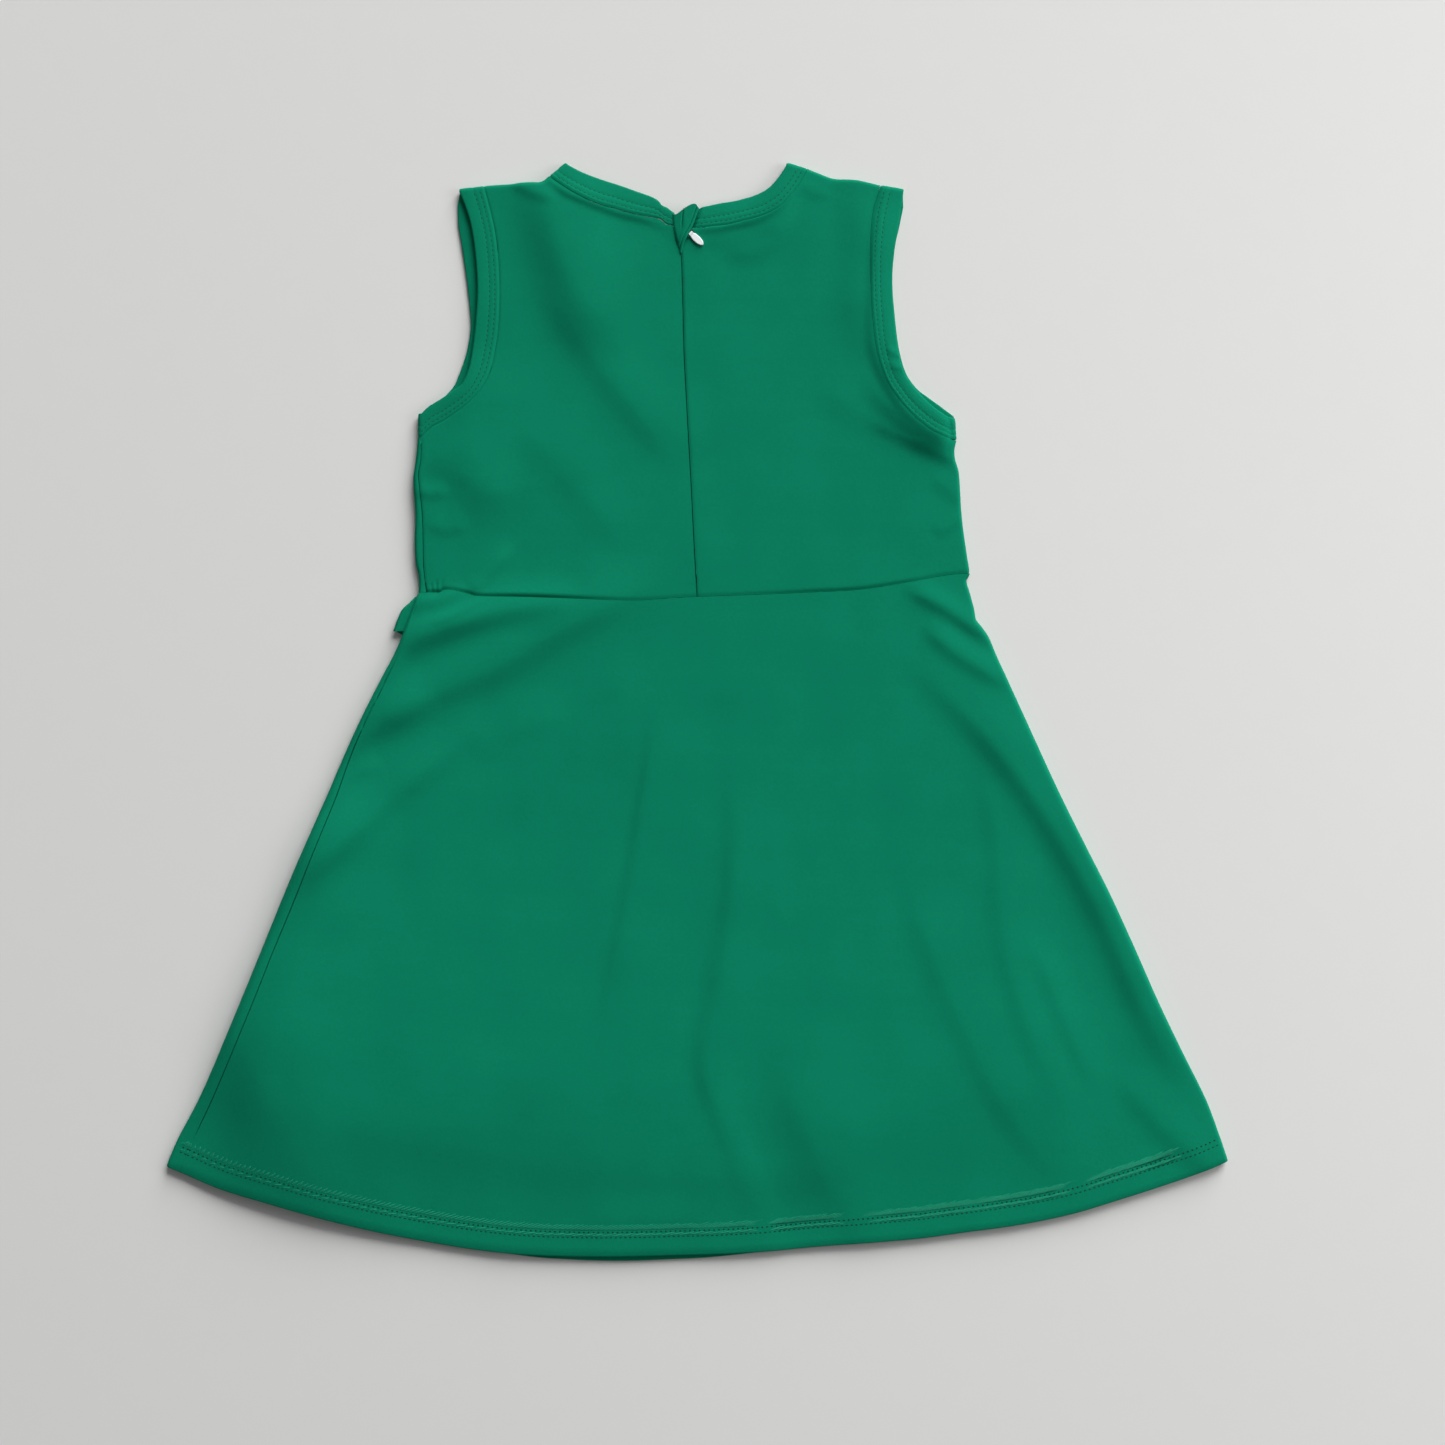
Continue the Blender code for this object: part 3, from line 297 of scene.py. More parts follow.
ARMHOLE_RIGHT_BACK = table(
    BandRow,
    140.5, 149.8, 138.2, 161.5, 135.4, 151.2, 134.2, 163.6, 128.7, 154.3, 128.2, 168.0,
    120.5, 160.6, 123.2, 173.0, 114.4, 166.9, 119.4, 177.1, 109.5, 173.2, 116.1, 181.5,
    104.0, 182.1, 112.8, 188.1, 99.0, 197.5, 110.3, 199.1, 96.5, 216.2, 108.4, 216.2,
    95.4, 235.4, 107.3, 235.4, 95.2, 254.1, 108.1, 250.3, 96.5, 273.4, 110.6, 267.3,
    100.5, 287.5, 113.4, 285.4,
)
ARMHOLE_RIGHT_FRONT = table(
    BandRow,
    136.0, 151.2, 141.3, 162.9, 128.2, 154.6, 133.4, 168.8, 119.5, 160.6, 127.6, 173.0,
    110.6, 169.8, 120.8, 178.4, 103.6, 181.5, 115.0, 186.8, 98.9, 198.0, 111.3, 199.6,
    96.4, 216.0, 109.1, 216.2, 94.8, 234.5, 107.6, 234.9, 95.2, 247.5, 108.0, 248.5,
    96.4, 257.5, 109.1, 257.4, 98.6, 268.5, 111.4, 267.3, 100.9, 279.6, 113.6, 278.0,
)
# Main folds of the upper layer, which its solids have too, in a simpler form
CREASES = creases(
    (2.6, 16, 34, -103, 306, -91, 272, -82, 246, -68, 220, -42, 188),
    (1.3, 10, 22, -98, 246, -74, 210, -52, 180, -28, 150, -14, 126),
    (0.9, 11, 24, -106, 162, -84, 136, -60, 108, -36, 78),
    (1.2, 11, 18, -153, 141, -140, 131, -122, 120, -98, 110),
    (1.7, 7, 36, 86, 190, 101, 168, 117, 153, 130, 145, 143, 139),
    (0.8, 10, 24, 60, 178, 82, 163, 104, 152, 128, 148),
    (1.0, 12, 14, 96, 288, 90, 250, 86, 214, 90, 176),
    (0.8, 6, 9, 6, 253, 28, 249, 46, 258, 60, 284),
    (1.1, 5, 10, -4, 262, 18, 266, 38, 272, 52, 285, 64, 304),
    (0.9, 4, 8, -106, 293, -92, 284, -76, 279),
    (2.6, 8, 11, -163, 28, -147, 39, -127, 46, -98, 52, -50, 58),
    (2.8, 10, 19, -194, -29, -170, -8, -142, 5, -107, 20, -78, 37, -42, 56, -6, 74),
    (2.2, 8, 18, -222, -104, -202, -84, -178, -62, -150, -38, -108, -4),
    (4.0, 24, 56, -190, 0, -228, -120, -250, -200, -256, -320),
    (1.2, 24, 46, -130, 40, -166, -120, -184, -290),
    (0.95, 4.5, 20, -22, 14, -29, -30, -37, -84, -46, -132, -56, -180),
    (1.5, 7, 24, 16, -14, 17, -62, 15, -106, 8, -150, 1, -190, 9, -224, 40, -306),
    (0.9, 11, 30, 38, -190, 60, -244, 96, -310),
    (0.9, 8, 24, 104, -66, 122, -126, 144, -178, 170, -226, 218, -284),
    (0.9, 7, 18, 144, -8, 160, -64, 164, -120, 180, -180, 204, -228),
    (0.8, 6, 12, 180, -124, 198, -168, 220, -218),
    (2.5, 8.5, 26, 100, 36, 148, -8, 184, -54, 218, -112, 244, -170, 280, -232),
    (1.3, 4, 7, 110, 68, 136, 54, 168, 32),
    (1.2, 5, 8, 120, 48, 142, 29, 178, 8),
    (1.0, 7, 14, 226, -198, 256, -234, 298, -266),
    (1.2, 20, 46, -280, -215, -100, -256, 20, -264, 140, -246),
)

# Smaller folds, soft swells and puckers that only the cloth has
SMALL_CREASES = creases(
    (1.9, 8, 9, -206, -18, -178, 12, -156, 31, -130, 43, -98, 51),
    (2.0, 8, 13, -222, -54, -194, -28, -170, -10, -138, 3),
    (2.3, 12, 26, -256, -136, -222, -104, -196, -82, -160, -54),
    (1.8, 4, 36, 93, 224, 96.5, 196, 107.6, 171.6, 118.6, 158.6, 134, 148.6, 156, 143),
    (0.7, 4.5, 36, 104, 240, 104, 200, 114, 177, 124.5, 164.5, 139, 156, 162, 149),
    (-2.6, 5, 40, 147, 202, 138.5, 166, 140.5, 132),
    (0.7, 5, 30, 98, 172, 111, 158, 124, 149, 136, 144, 153, 140),
    (1.0, 3.2, 10, 107, 316, 101, 284, 97, 258, 95, 234, 94.6, 212, 97, 186),
    (0.9, 4.5, 18, 90, 160, 106, 152, 118, 146, 136, 138),
    (1.5, 17, 28, -126, 206, -133, 166, -131, 122, -122, 92),
    (1.2, 14, 26, -97, 304, -86, 262, -79, 236, -70, 212, -56, 186),
    (1.0, 2.6, 9, -98, 303, -77, 287, -66, 281, -44, 273, -28, 269, -4, 260),
    (0.8, 2.6, 9, -22, 260, -2, 263, 16, 265, 36, 270, 50, 281, 62, 300),
    (0.6, 6, 4, -14, 256, 8, 257, 30, 259.5, 48, 270, 60, 294),
    (1.1, 11, 15, 82, 304, 83, 262, 79, 232, 84, 190),
    (0.4, 1.4, 2.2, 102, 200, 108, 195.5, 114, 193),
    (0.3, 1.6, 2.4, 103, 190, 109, 188, 117, 186),
    (1.3, 4.2, 20, 106, 152, 121, 146, 130, 141.5, 138, 137.5, 152, 132),
    (0.6, 3, 5, -158, 122, -147, 118, -134, 120),
    (0.5, 4, 8, -152, 104, -138, 98, -122, 102),
    (0.9, 3.2, 6, -124, 62, -113, 74, -98, 92),
    (-0.26, 0.7, 0.8, -146.9, 71, -146.3, 68, -145.3, 61),
    (-0.34, 0.7, 0.8, -143.9, 73, -143.7, 69, -143.3, 61),
    (-0.24, 0.7, 0.8, -140.7, 74, -141.0, 69, -141.8, 61),
    (1.0, 5, 4, -176, 52, -158, 56, -144, 58, -132, 61, -112, 68),
    (0.5, 1.6, 3.5, -152, 45, -138, 50, -127, 55, -110, 65),
    (0.7, 5, 9, -206, -56, -190, -39, -170, -28),
    (0.4, 3, 6, 130, 95, 140, 101, 152, 110),
    (0.4, 4, 7, 126, 130, 137, 120, 150, 110),
    (0.4, 3, 6, 56, 292, 62, 284, 76, 282),
    (0.3, 8, 14, -60, 66, -52, 90, -34, 120),
    (0.3, 6, 14, 40, -50, 38, -90, 46, -136),
    (0.4, 7, 16, -120, -34, -98, -14, -66, -6),
    (0.35, 9, 18, -40, 30, -60, 6, -76, -40),
    (0.4, 6, 12, -70, -284, -30, -281, 20, -282),
    (3.0, 27, 60, -330, -112, -282, -166, -252, -208, -228, -256, -206, -330),
    (2.7, 50, 84, -420, -172, -300, -197, -180, -223, -60, -238, 112, -238),
    (2.2, 42, 70, 20, -240, 70, -243, 130, -241, 200, -229, 250, -213),
    (-0.6, 9, 18, 8, -178, 22, -222, 38, -262, 54, -320),
)

# Soft lifts of the lower layer, where it doesn't quite touch the surface
LOWER_LIFTS = creases(
    (0.6, 14, 26, -120, 250, -70, 180, -30, 96),
    (0.5, 12, 22, 30, 210, 64, 150, 128, 104),
    (0.7, 10, 18, -150, 40, -90, 20, -20, 34),
    (0.8, 16, 34, -96, 10, -140, -110, -168, -240),
    (0.8, 14, 30, 10, 20, 16, -120, -16, -250),
    (0.8, 14, 26, 90, 40, 130, -80, 190, -210),
    (0.6, 9, 16, 150, 20, 196, -90, 236, -190),
)
RIPPLES = table(
    Ripple,
    0.92, 0.39, 61.0, 0.07, -0.36, 0.93, 83.0, 0.09, 0.71, -0.70, 47.0, 0.05,
    0.17, 0.98, 37.0, 0.04, 0.98, 0.17, 29.0, 0.03,
)
FLAP_LEFT = table(
    Spot,
    -9.6, 252.2, -10.3, 256.6, -11.6, 261.6, -12.7, 266.8, -13.2, 273.2,
)
FLAP_RIGHT = table(
    Spot,
    -8.4, 252.2, -7.2, 257.0, -5.2, 261.4, -2.5, 266.6, 1.0, 276.3,
)
FLAP_TOP = table(
    Spot,
    -13.2, 273.2, -10.9, 273.4, -7.4, 276.0, -3.4, 278.3, -0.9, 278.6, 1.0, 276.3,
)
TAB_ROWS = table(
    TabRow,
    -155.6, 63.0, -152.9, 63.0, -158.4, 60.0, -154.4, 60.0, -162.4, 56.3, -155.9, 56.3,
    -164.9, 51.3, -157.6, 51.3, -166.6, 46.6, -158.6, 46.6, -167.4, 41.0, -160.0, 44.4,
)
WAIST_PULLS = (Groove(1.05, -92.0, 36.0), Groove(0.4, 82.0, 40.0))
WAIST_PUCKER = Groove(0.9, -143.5, 5.0)
WAIST_DEPTH = 0.3
WAIST_PULL_SHARE = 1.3
BAND_SECTION = 12.2
BAND_SHORT = 0.3
BAND_OUTER = (0.0, 0.4, 0.9, 1.5, 2.05, 2.5, 2.95, 3.5, 4.2, 4.9, 5.2, 5.5, 5.8, 6.2, 7.2, 8.3, 9.4,
              10.4, 11.2, 11.8)
BAND_INNER = (11.8, 9.4, 7.0, 4.6, 2.3, 0.0)
STITCH_UNEVEN = ((0.10, 2.3), (0.06, 5.1))
GREEN = (0.0030, 0.226, 0.123)


@dataclass(frozen=True)
class Steps:
    """How many quads each stretch of the cloth is divided into."""

    side: int = 60
    armhole: int = 96
    centre: int = 120
    neck: int = 36
    bodice_across: int = 112
    front_across: int = 44
    skirt_up: int = 160
    skirt_across: int = 116
    front_skirt_up: int = 110
    front_skirt_across: int = 56
    roll: int = 10
    strip: int = 5
    band: int = 110
    band_half: int = 55
    hem_turn: int = 4
    up_crowding: float = 1.25
    across_crowding: float = 1.4


@dataclass(frozen=True)
class ClothSize:
    """Walls, gaps and heights that every cloth piece shares."""

    wall: float = 0.8
    panel_rise: float = 0.2
    solid_half: float = 0.6
    back_middle: float = 3.4
    back_middle_min: float = 2.3
    front_middle: float = 0.6
    band_front_middle: float = 0.8
    band_wall: float = 0.66
    band_half: float = 0.39
    seam_gap: float = 0.22
    roll_reach: float = 2.0
    under_turn: float = 6.0
    hem_depth: float = 17.0


STEPS = Steps()
SIZE = ClothSize()


def smooth_line(rows: Sequence) -> np.ndarray:
    """Run a Catmull-Rom curve through rows of numbers.

    Args:
        rows: The curve's knots.

    Returns:
        The curve's rows, from the first knot to the last.
    """
    knots = np.array(rows, dtype=float)
    padded = np.vstack([2 * knots[0] - knots[1], knots, 2 * knots[-1] - knots[-2]])
    t = np.linspace(0.0, 1.0, CURVE_STEPS, endpoint=False)[:, None]
    pieces = []
    for before, start, end, after in zip(padded, padded[1:], padded[2:], padded[3:]):
        bend = 2 * before - 5 * start + 4 * end - after
        twist = 3 * start - before - 3 * end + after
        pieces.append(start + 0.5 * t * (end - before + t * (bend + t * twist)))
    pieces.append(knots[-1:])
    return np.vstack(pieces)


def travelled(points: np.ndarray, axis: int = 0) -> np.ndarray:
    """Return how far along its line each point is.

    Args:
        points: A line of points, or a grid of them.
        axis: The way in which the lines run through a grid.

    Returns:
        The distances from the lines' first points.
    """
    hops = np.linalg.norm(np.diff(points, axis=axis), axis=-1)
    return np.insert(np.cumsum(hops, axis=axis), 0, 0.0, axis=axis)


def read_off(wanted: np.ndarray, run: np.ndarray, rows: np.ndarray) -> np.ndarray:
    """Read rows of numbers off at the wanted distances along a line."""
    return np.column_stack([np.interp(wanted, run, column) for column in rows.T])


def resample(rows: Sequence, steps: int, crowding: float = 1.0) -> np.ndarray:
    """Space rows on their smooth curve.

    Args:
        rows: The rows; the first two columns are the place.
        steps: How many stretches to make.
        crowding: 1 for even spacing; more brings them closer together near the first row.

    Returns:
        steps + 1 rows.
    """
    fine = smooth_line(rows)
    run = travelled(fine[:, :2])
    return read_off(run[-1] * np.linspace(0.0, 1.0, steps + 1) ** crowding, run, fine)


def joined(first: np.ndarray, second: np.ndarray) -> np.ndarray:
    """Put two lines end to end and keep the point that they share once."""
    return np.vstack([first, second[1:]])


def unit(vectors: np.ndarray) -> np.ndarray:
    """Scale vectors to length one."""
    return vectors / np.maximum(np.linalg.norm(vectors, axis=-1, keepdims=True), 1e-9)


def ramp(rise: np.ndarray, full: float) -> np.ndarray:
    """Return a share that grows from 0, and stays at 1 from the full rise on."""
    return np.clip(rise / full, 0.0, 1.0)


def columns_of(line: np.ndarray, count: int) -> np.ndarray:
    """Repeat a line's values across a grid."""
    return np.repeat(line[:, None], count, axis=1)


def patch(bottom: np.ndarray, top: np.ndarray, left: np.ndarray, right: np.ndarray) -> np.ndarray:
    """Fill four edges that share their corners with a grid of places.

    Args:
        bottom: Places from left to right along the first row.
        top: Places from left to right along the last row.
        left: Places from bottom to top.
        right: Places from bottom to top.

    Returns:
        An array of rows, columns, 2.
    """
    u = np.linspace(0.0, 1.0, len(bottom))[None, :, None]
    v = np.linspace(0.0, 1.0, len(left))[:, None, None]
    across = (1 - u) * left[:, None] + u * right[:, None]
    along = (1 - v) * bottom[None] + v * top[None]
    low = (1 - u) * bottom[0] + u * bottom[-1]
    high = (1 - u) * top[0] + u * top[-1]
    return across + along - (1 - v) * low - v * high


def seen_from(grid: np.ndarray, side: Side) -> np.ndarray:
    """Turn a grid, without copying it, so that the named side is its first column."""
    turned = grid if side in (Side.LEFT, Side.RIGHT) else np.swapaxes(grid, 0, 1)
    return turned if side in (Side.LEFT, Side.BOTTOM) else turned[:, ::-1]


def turned_between(first: Sequence, last: Sequence, count: int) -> np.ndarray:
    """Return directions that turn from one to the other, most of the turn near the last."""
    share = np.linspace(0.0, 1.0, count)[:, None] ** 3
    return unit((1 - share) * np.array(first) + share * np.array(last))


def side_ways(fold: np.ndarray, level: Sequence, level_ends: Sequence[int]) -> np.ndarray:
    """Find the directions square to a side edge.

    Args:
        fold: The line where the side starts to roll.
        level: The direction that they roughly face.
        level_ends: Rows that face exactly that way.

    Returns:
        One unit direction for each row.
    """
    along = np.gradient(fold, axis=0)
    ways = unit(np.column_stack([along[:, 1], -along[:, 0]]))
    ways *= np.sign((ways * np.array(level)).sum(axis=1))[:, None]
    ways[list(level_ends)] = level
    return ways


@dataclass(frozen=True)
class Relief:
    """The height of the cloth's layers over the surface.

    Attributes:
        crest_at: How far a crest lies from its crease's path, in widths of the steep side.
        faded: The share of a path over which each end fades out.
        reach: How far a crease is felt, in widths of its wider side.
        lift_max: The most that the lower layer is lifted.
    """

    creases: tuple[Crease, ...] = CREASES + SMALL_CREASES
    lifts: tuple[Crease, ...] = LOWER_LIFTS
    ripples: tuple[Ripple, ...] = RIPPLES
    crest_at: float = 0.7
    faded: float = 0.3
    reach: float = 2.5
    lift_max: float = 0.9

    def upper(self, places: np.ndarray) -> np.ndarray:
        """Return the height of the middle of the upper layer's solid at each place.

        Args:
            places: Places on the surface.

        Returns:
            The heights, in the places' own order.
        """
        flat = places.reshape(-1, 2)
        height = self.piled(flat, SIZE.back_middle, self.creases)
        for wave in self.ripples:
            phase = (flat @ np.array([wave.way_x, wave.way_y])) / wave.length
            height += wave.height * np.sin(2 * pi * phase + wave.length)
        return np.maximum(height, SIZE.back_middle_min).reshape(places.shape[:-1])

    def lower_lift(self, places: np.ndarray) -> np.ndarray:
        """Return how far the lower layer is lifted off the surface at each place."""
        lift = self.piled(places.reshape(-1, 2), 0.0, self.lifts)
        return np.clip(lift, 0.0, self.lift_max).reshape(places.shape[:-1])

    def piled(self, flat: np.ndarray, level: float, folds: Sequence[Crease]) -> np.ndarray:
        """Return the height of level cloth with folds added at each place.

        Args:
            flat: The places, one in each row.
            level: The height of the level cloth.
            folds: The creases.

        Returns:
            The heights.
        """
        height = np.full(len(flat), level)
        for crease in folds:
            height += self.crest(flat, crease)
        return height

    def crest(self, flat: np.ndarray, crease: Crease) -> np.ndarray:
        """Shape one crease: steep on the right of its way, gentle on the left.

        Args:
            flat: The places, one in each row.
            crease: The crease.

        Returns:
            The change of height at each place.
        """
        path = smooth_line(crease.path)
        result = np.zeros(len(flat))
        margin = self.reach * max(crease.width, crease.back)
        near = np.all((flat > path.min(0) - margin) & (flat < path.max(0) + margin), axis=1)
        points = flat[near]
        if not len(points):
            return result
        starts, spans = path[:-1], np.diff(path, axis=0)
        along = np.einsum("psk,sk->ps", points[:, None] - starts, spans) / (spans**2).sum(axis=1)
        held = np.clip(along, 0.0, 1.0)
        apart = points[:, None] - starts - held[..., None] * spans
        distance = np.hypot(apart[..., 0], apart[..., 1])
        best = distance.argmin(axis=1)
        rows = np.arange(len(points))
        gap, span = apart[rows, best], spans[best]
        left_of = np.sign(span[:, 0] * gap[:, 1] - span[:, 1] * gap[:, 0])
        beyond = left_of * distance[rows, best] - self.crest_at * crease.width
        share = ramp(best + held[rows, best], len(spans))
        ends = ramp(np.minimum(share, 1.0 - share), self.faded)
        slope = np.where(beyond > 0.0, crease.back, crease.width)
        taper = ends**2 * (3.0 - 2.0 * ends)
        result[near] = crease.rise * taper * np.exp(-((beyond / slope) ** 2))
        return result


RELIEF = Relief()


@dataclass
class Lay:
    """How a grid of cloth lies.

    Attributes:
        place: Where each point is before it rolls: rows, columns, 2.
        way: The direction in which the cloth rolls there: rows, columns, 2.
        turn: How far it has rolled, from 0 on the upper layer to pi on the lower one.
        rise: Its distance outwards from the middle of the solid's wall.
        low: The height of the middle of the solid's wall on the lower layer.
        grain: Where it was on the flat cloth, along the knit's courses and wales.
    """

    place: np.ndarray
    way: np.ndarray
    turn: np.ndarray
    rise: np.ndarray
    low: float
    grain: np.ndarray

    @classmethod
    def flat(cls, place: np.ndarray, turn: Turn, rise: float = SIZE.panel_rise) -> "Lay":
        """Lay a grid of places on one layer.

        Args:
            place: The places: rows, columns, 2.
            turn: The layer.
            rise: How far outwards from the middle of the solid's wall.

        Returns:
            How they lie.
        """
        shape = place.shape[:-1]
        lay = cls(place.copy(), np.zeros_like(place), np.full(shape, float(turn)),
                  np.full(shape, rise), SIZE.front_middle, place.copy())
        if turn is Turn.LOWER:
            lay.rise -= RELIEF.lower_lift(place)
        return lay

    def points(self) -> np.ndarray:
        """Work out the points in space, in millimetres.

        Returns:
            The points: rows, columns, 3.
        """
        middle = RELIEF.upper(self.place)
        reach = (middle - self.low) / 2 + self.rise
        out = self.place + self.way * (reach * np.sin(self.turn))[..., None]
        height = (middle + self.low) / 2 + reach * np.cos(self.turn)
        return np.concatenate([out, height[..., None]], axis=-1)

    def normals(self) -> np.ndarray:
        """Return the outward direction at each point, square to the unwrinkled cloth."""
        level = self.way * np.sin(self.turn)[..., None]
        return unit(np.concatenate([level, np.cos(self.turn)[..., None]], axis=-1))

    def each(self, change: Callable[[np.ndarray], np.ndarray]) -> "Lay":
        """Return a lay whose grids have all gone through one change."""
        return replace(self, **{name: change(getattr(self, name)) for name in LAY_GRIDS})

    def part(self, *kept: Union[slice, int, np.ndarray]) -> "Lay":
        """Return some of the rows and columns, without copying them."""
        return self.each(lambda grid: grid[kept])

    def beside(self, other: "Lay") -> "Lay":
        """Add another lay's columns after this one's, with the shared column kept once."""
        return self.put_together(other.part(slice(None), slice(1, None)), 1)

    def below(self, other: "Lay") -> "Lay":
        """Add another lay's rows after this one's, with the shared row kept once."""
        return self.put_together(other.part(slice(1, None)), 0)

    def put_together(self, other: "Lay", axis: int) -> "Lay":
        """Join two lays along one axis.

        Args:
            other: The lay that comes after.
            axis: 0 to add its rows, 1 to add its columns.

        Returns:
            The joined lay.
        """
        return replace(self, **{
            name: np.concatenate([getattr(self, name), getattr(other, name)], axis=axis)
            for name in LAY_GRIDS
        })

    def sink(self, side: Side, depth: Union[float, np.ndarray], width: float) -> None:
        """Round the cloth down towards one side, as a seam pulls it.

        Args:
            side: The sewn side.
            depth: How far its edge goes down, for all of it or for each point along it.
            width: How wide the rounding is.
        """
        place, rise = seen_from(self.place, side), seen_from(self.rise, side)
        deep = np.broadcast_to(np.asarray(depth, dtype=float), (len(place),))
        rise -= deep[:, None] * np.exp(-((travelled(place, 1) / width) ** 2))


def trim(grid: np.ndarray, side: Side, gap: float, rows: slice = slice(None)) -> None:
    """Move one side of a grid of places inwards, square to that side.

    Args:
        grid: The places, which are changed.
        side: The side to move.
        gap: How far.
        rows: The stretch of it that moves.
    """
    view = seen_from(grid, side)
    edge, inner = view[:, 0].copy(), view[:, 1]
    along, inward = unit(np.gradient(edge, axis=0)), unit(inner - edge)
    square = np.abs(along[:, 0] * inward[:, 1] - along[:, 1] * inward[:, 0])
    moved = edge + inward * (gap / np.maximum(square, TRIM_SQUARE_MIN))[:, None]
    view[rows, 0] = moved[rows]


def rolled(edge: Lay, ways: np.ndarray, far: np.ndarray, start: Turn) -> Lay:
    """Roll cloth over a fold, and lay it on the other layer as far as a seam.

    Args:
        edge: How the cloth lies along the fold.
        ways: The direction in which it rolls, for each point of the fold.
        far: The seam on the other layer, for each point of the fold.
        start: The layer that it comes from.

    Returns:
        A lay with a row for each point of the fold.
    """
    fold = edge.place
    angles = np.linspace(0.0, pi, STEPS.roll + 1)
    turns = angles if start is Turn.UPPER else pi - angles
    spread = np.linspace(0.0, 1.0, STEPS.strip + 1)[1:]
    strip = fold[:, None] + (far - fold)[:, None] * spread[None, :, None]
    place = np.concatenate([columns_of(fold, STEPS.roll + 1), strip], axis=1)
    turn = np.concatenate([turns, np.full(STEPS.strip, turns[-1])])
    count = len(turn)
    lay = Lay(place, columns_of(ways, count), np.repeat(turn[None], len(fold), axis=0),
              columns_of(edge.rise, count), edge.low, np.zeros_like(place))
    lay.grain = edge.grain[:, None] + ways[:, None] * travelled(lay.points(), 1)[..., None]
    return lay


def side_fold(rows: np.ndarray, way: Sequence) -> np.ndarray:
    """Find the line inside a silhouette where the cloth starts to roll.

    Args:
        rows: The silhouette, whose first two columns are the place.
        way: The direction in which the cloth rolls.

    Returns:
        The line's places.
    """
    near = rows[:, :2] - np.array(way) * SIZE.roll_reach
    reach = (RELIEF.upper(near) - SIZE.front_middle) / 2 + SIZE.solid_half
    return np.column_stack([rows[:, 0] - way[0] * reach, rows[:, 1]])


def seam_depth(places: np.ndarray) -> np.ndarray:
    """Return how deep the waist seam lies under the cloth, which varies along it."""
    strong = sum(pull.along(places[:, 0]) for pull in WAIST_PULLS)
    return WAIST_DEPTH + WAIST_PULL_SHARE * strong + WAIST_PUCKER.along(places[:, 0])


def hemmed(lay: Lay) -> Lay:
    """Turn a panel's first row under, as a hem is turned, and lay it inside its own layer.

    Args:
        lay: The panel, whose first row is drawn back by what the turn takes up.

    Returns:
        The panel with its hem.
    """
    out = unit(lay.place[0] - lay.place[1])
    radius = SIZE.wall / 2 + HEM_SPACE
    lay.place[0] -= out * (radius + SIZE.wall / 2)
    depth = travelled(lay.place[:, lay.place.shape[1] // 2])
    result = lay.part(slice(int(np.searchsorted(depth, SIZE.hem_depth)), None, -1))
    result.rise = result.rise - 2 * radius
    result.grain = 2 * lay.grain[:1] - result.grain
    for step in range(STEPS.hem_turn - 1, 0, -1):
        angle = pi * step / STEPS.hem_turn
        row = lay.part(slice(0, 1))
        row.place = row.place + out * radius * np.sin(angle)
        row.rise = row.rise - radius * (1 - np.cos(angle))
        result = result.put_together(row, 0)
    return result.put_together(lay, 0)


def node_method(operation: str, swapped: bool = False) -> Callable:
    """Make a method that puts a value through a Math node.

    Args:
        operation: What the node does.
        swapped: Whether the value is the node's second input.

    Returns:
        The method.
    """

    def method(value: "Value", other: "Number" = 0.0) -> "Value":
        """Put the value through the node."""
        first, second = (other, value) if swapped else (value, other)
        return value.graph.maths(operation, first, second)

    return method


class Value:
    """A shader output that takes part in sums."""

    __add__ = node_method("ADD")
    __radd__ = node_method("ADD", swapped=True)
    __sub__ = node_method("SUBTRACT")
    __rsub__ = node_method("SUBTRACT", swapped=True)
    __mul__ = node_method("MULTIPLY")
    __rmul__ = node_method("MULTIPLY", swapped=True)
    __truediv__ = node_method("DIVIDE")
    __abs__ = node_method("ABSOLUTE")
    cosine = node_method("COSINE")
    fraction = node_method("FRACT")

    def __init__(self, graph: "Graph", socket: bpy.types.NodeSocket) -> None:
        """Keep the output and the graph that it is in."""
        self.graph = graph
        self.socket = socket

    def within(self, low: float, high: float) -> "Value":
        """Hold between two limits."""
        return self.graph.maths("MINIMUM", self.graph.maths("MAXIMUM", self, low), high)


Number = Union[Value, float]


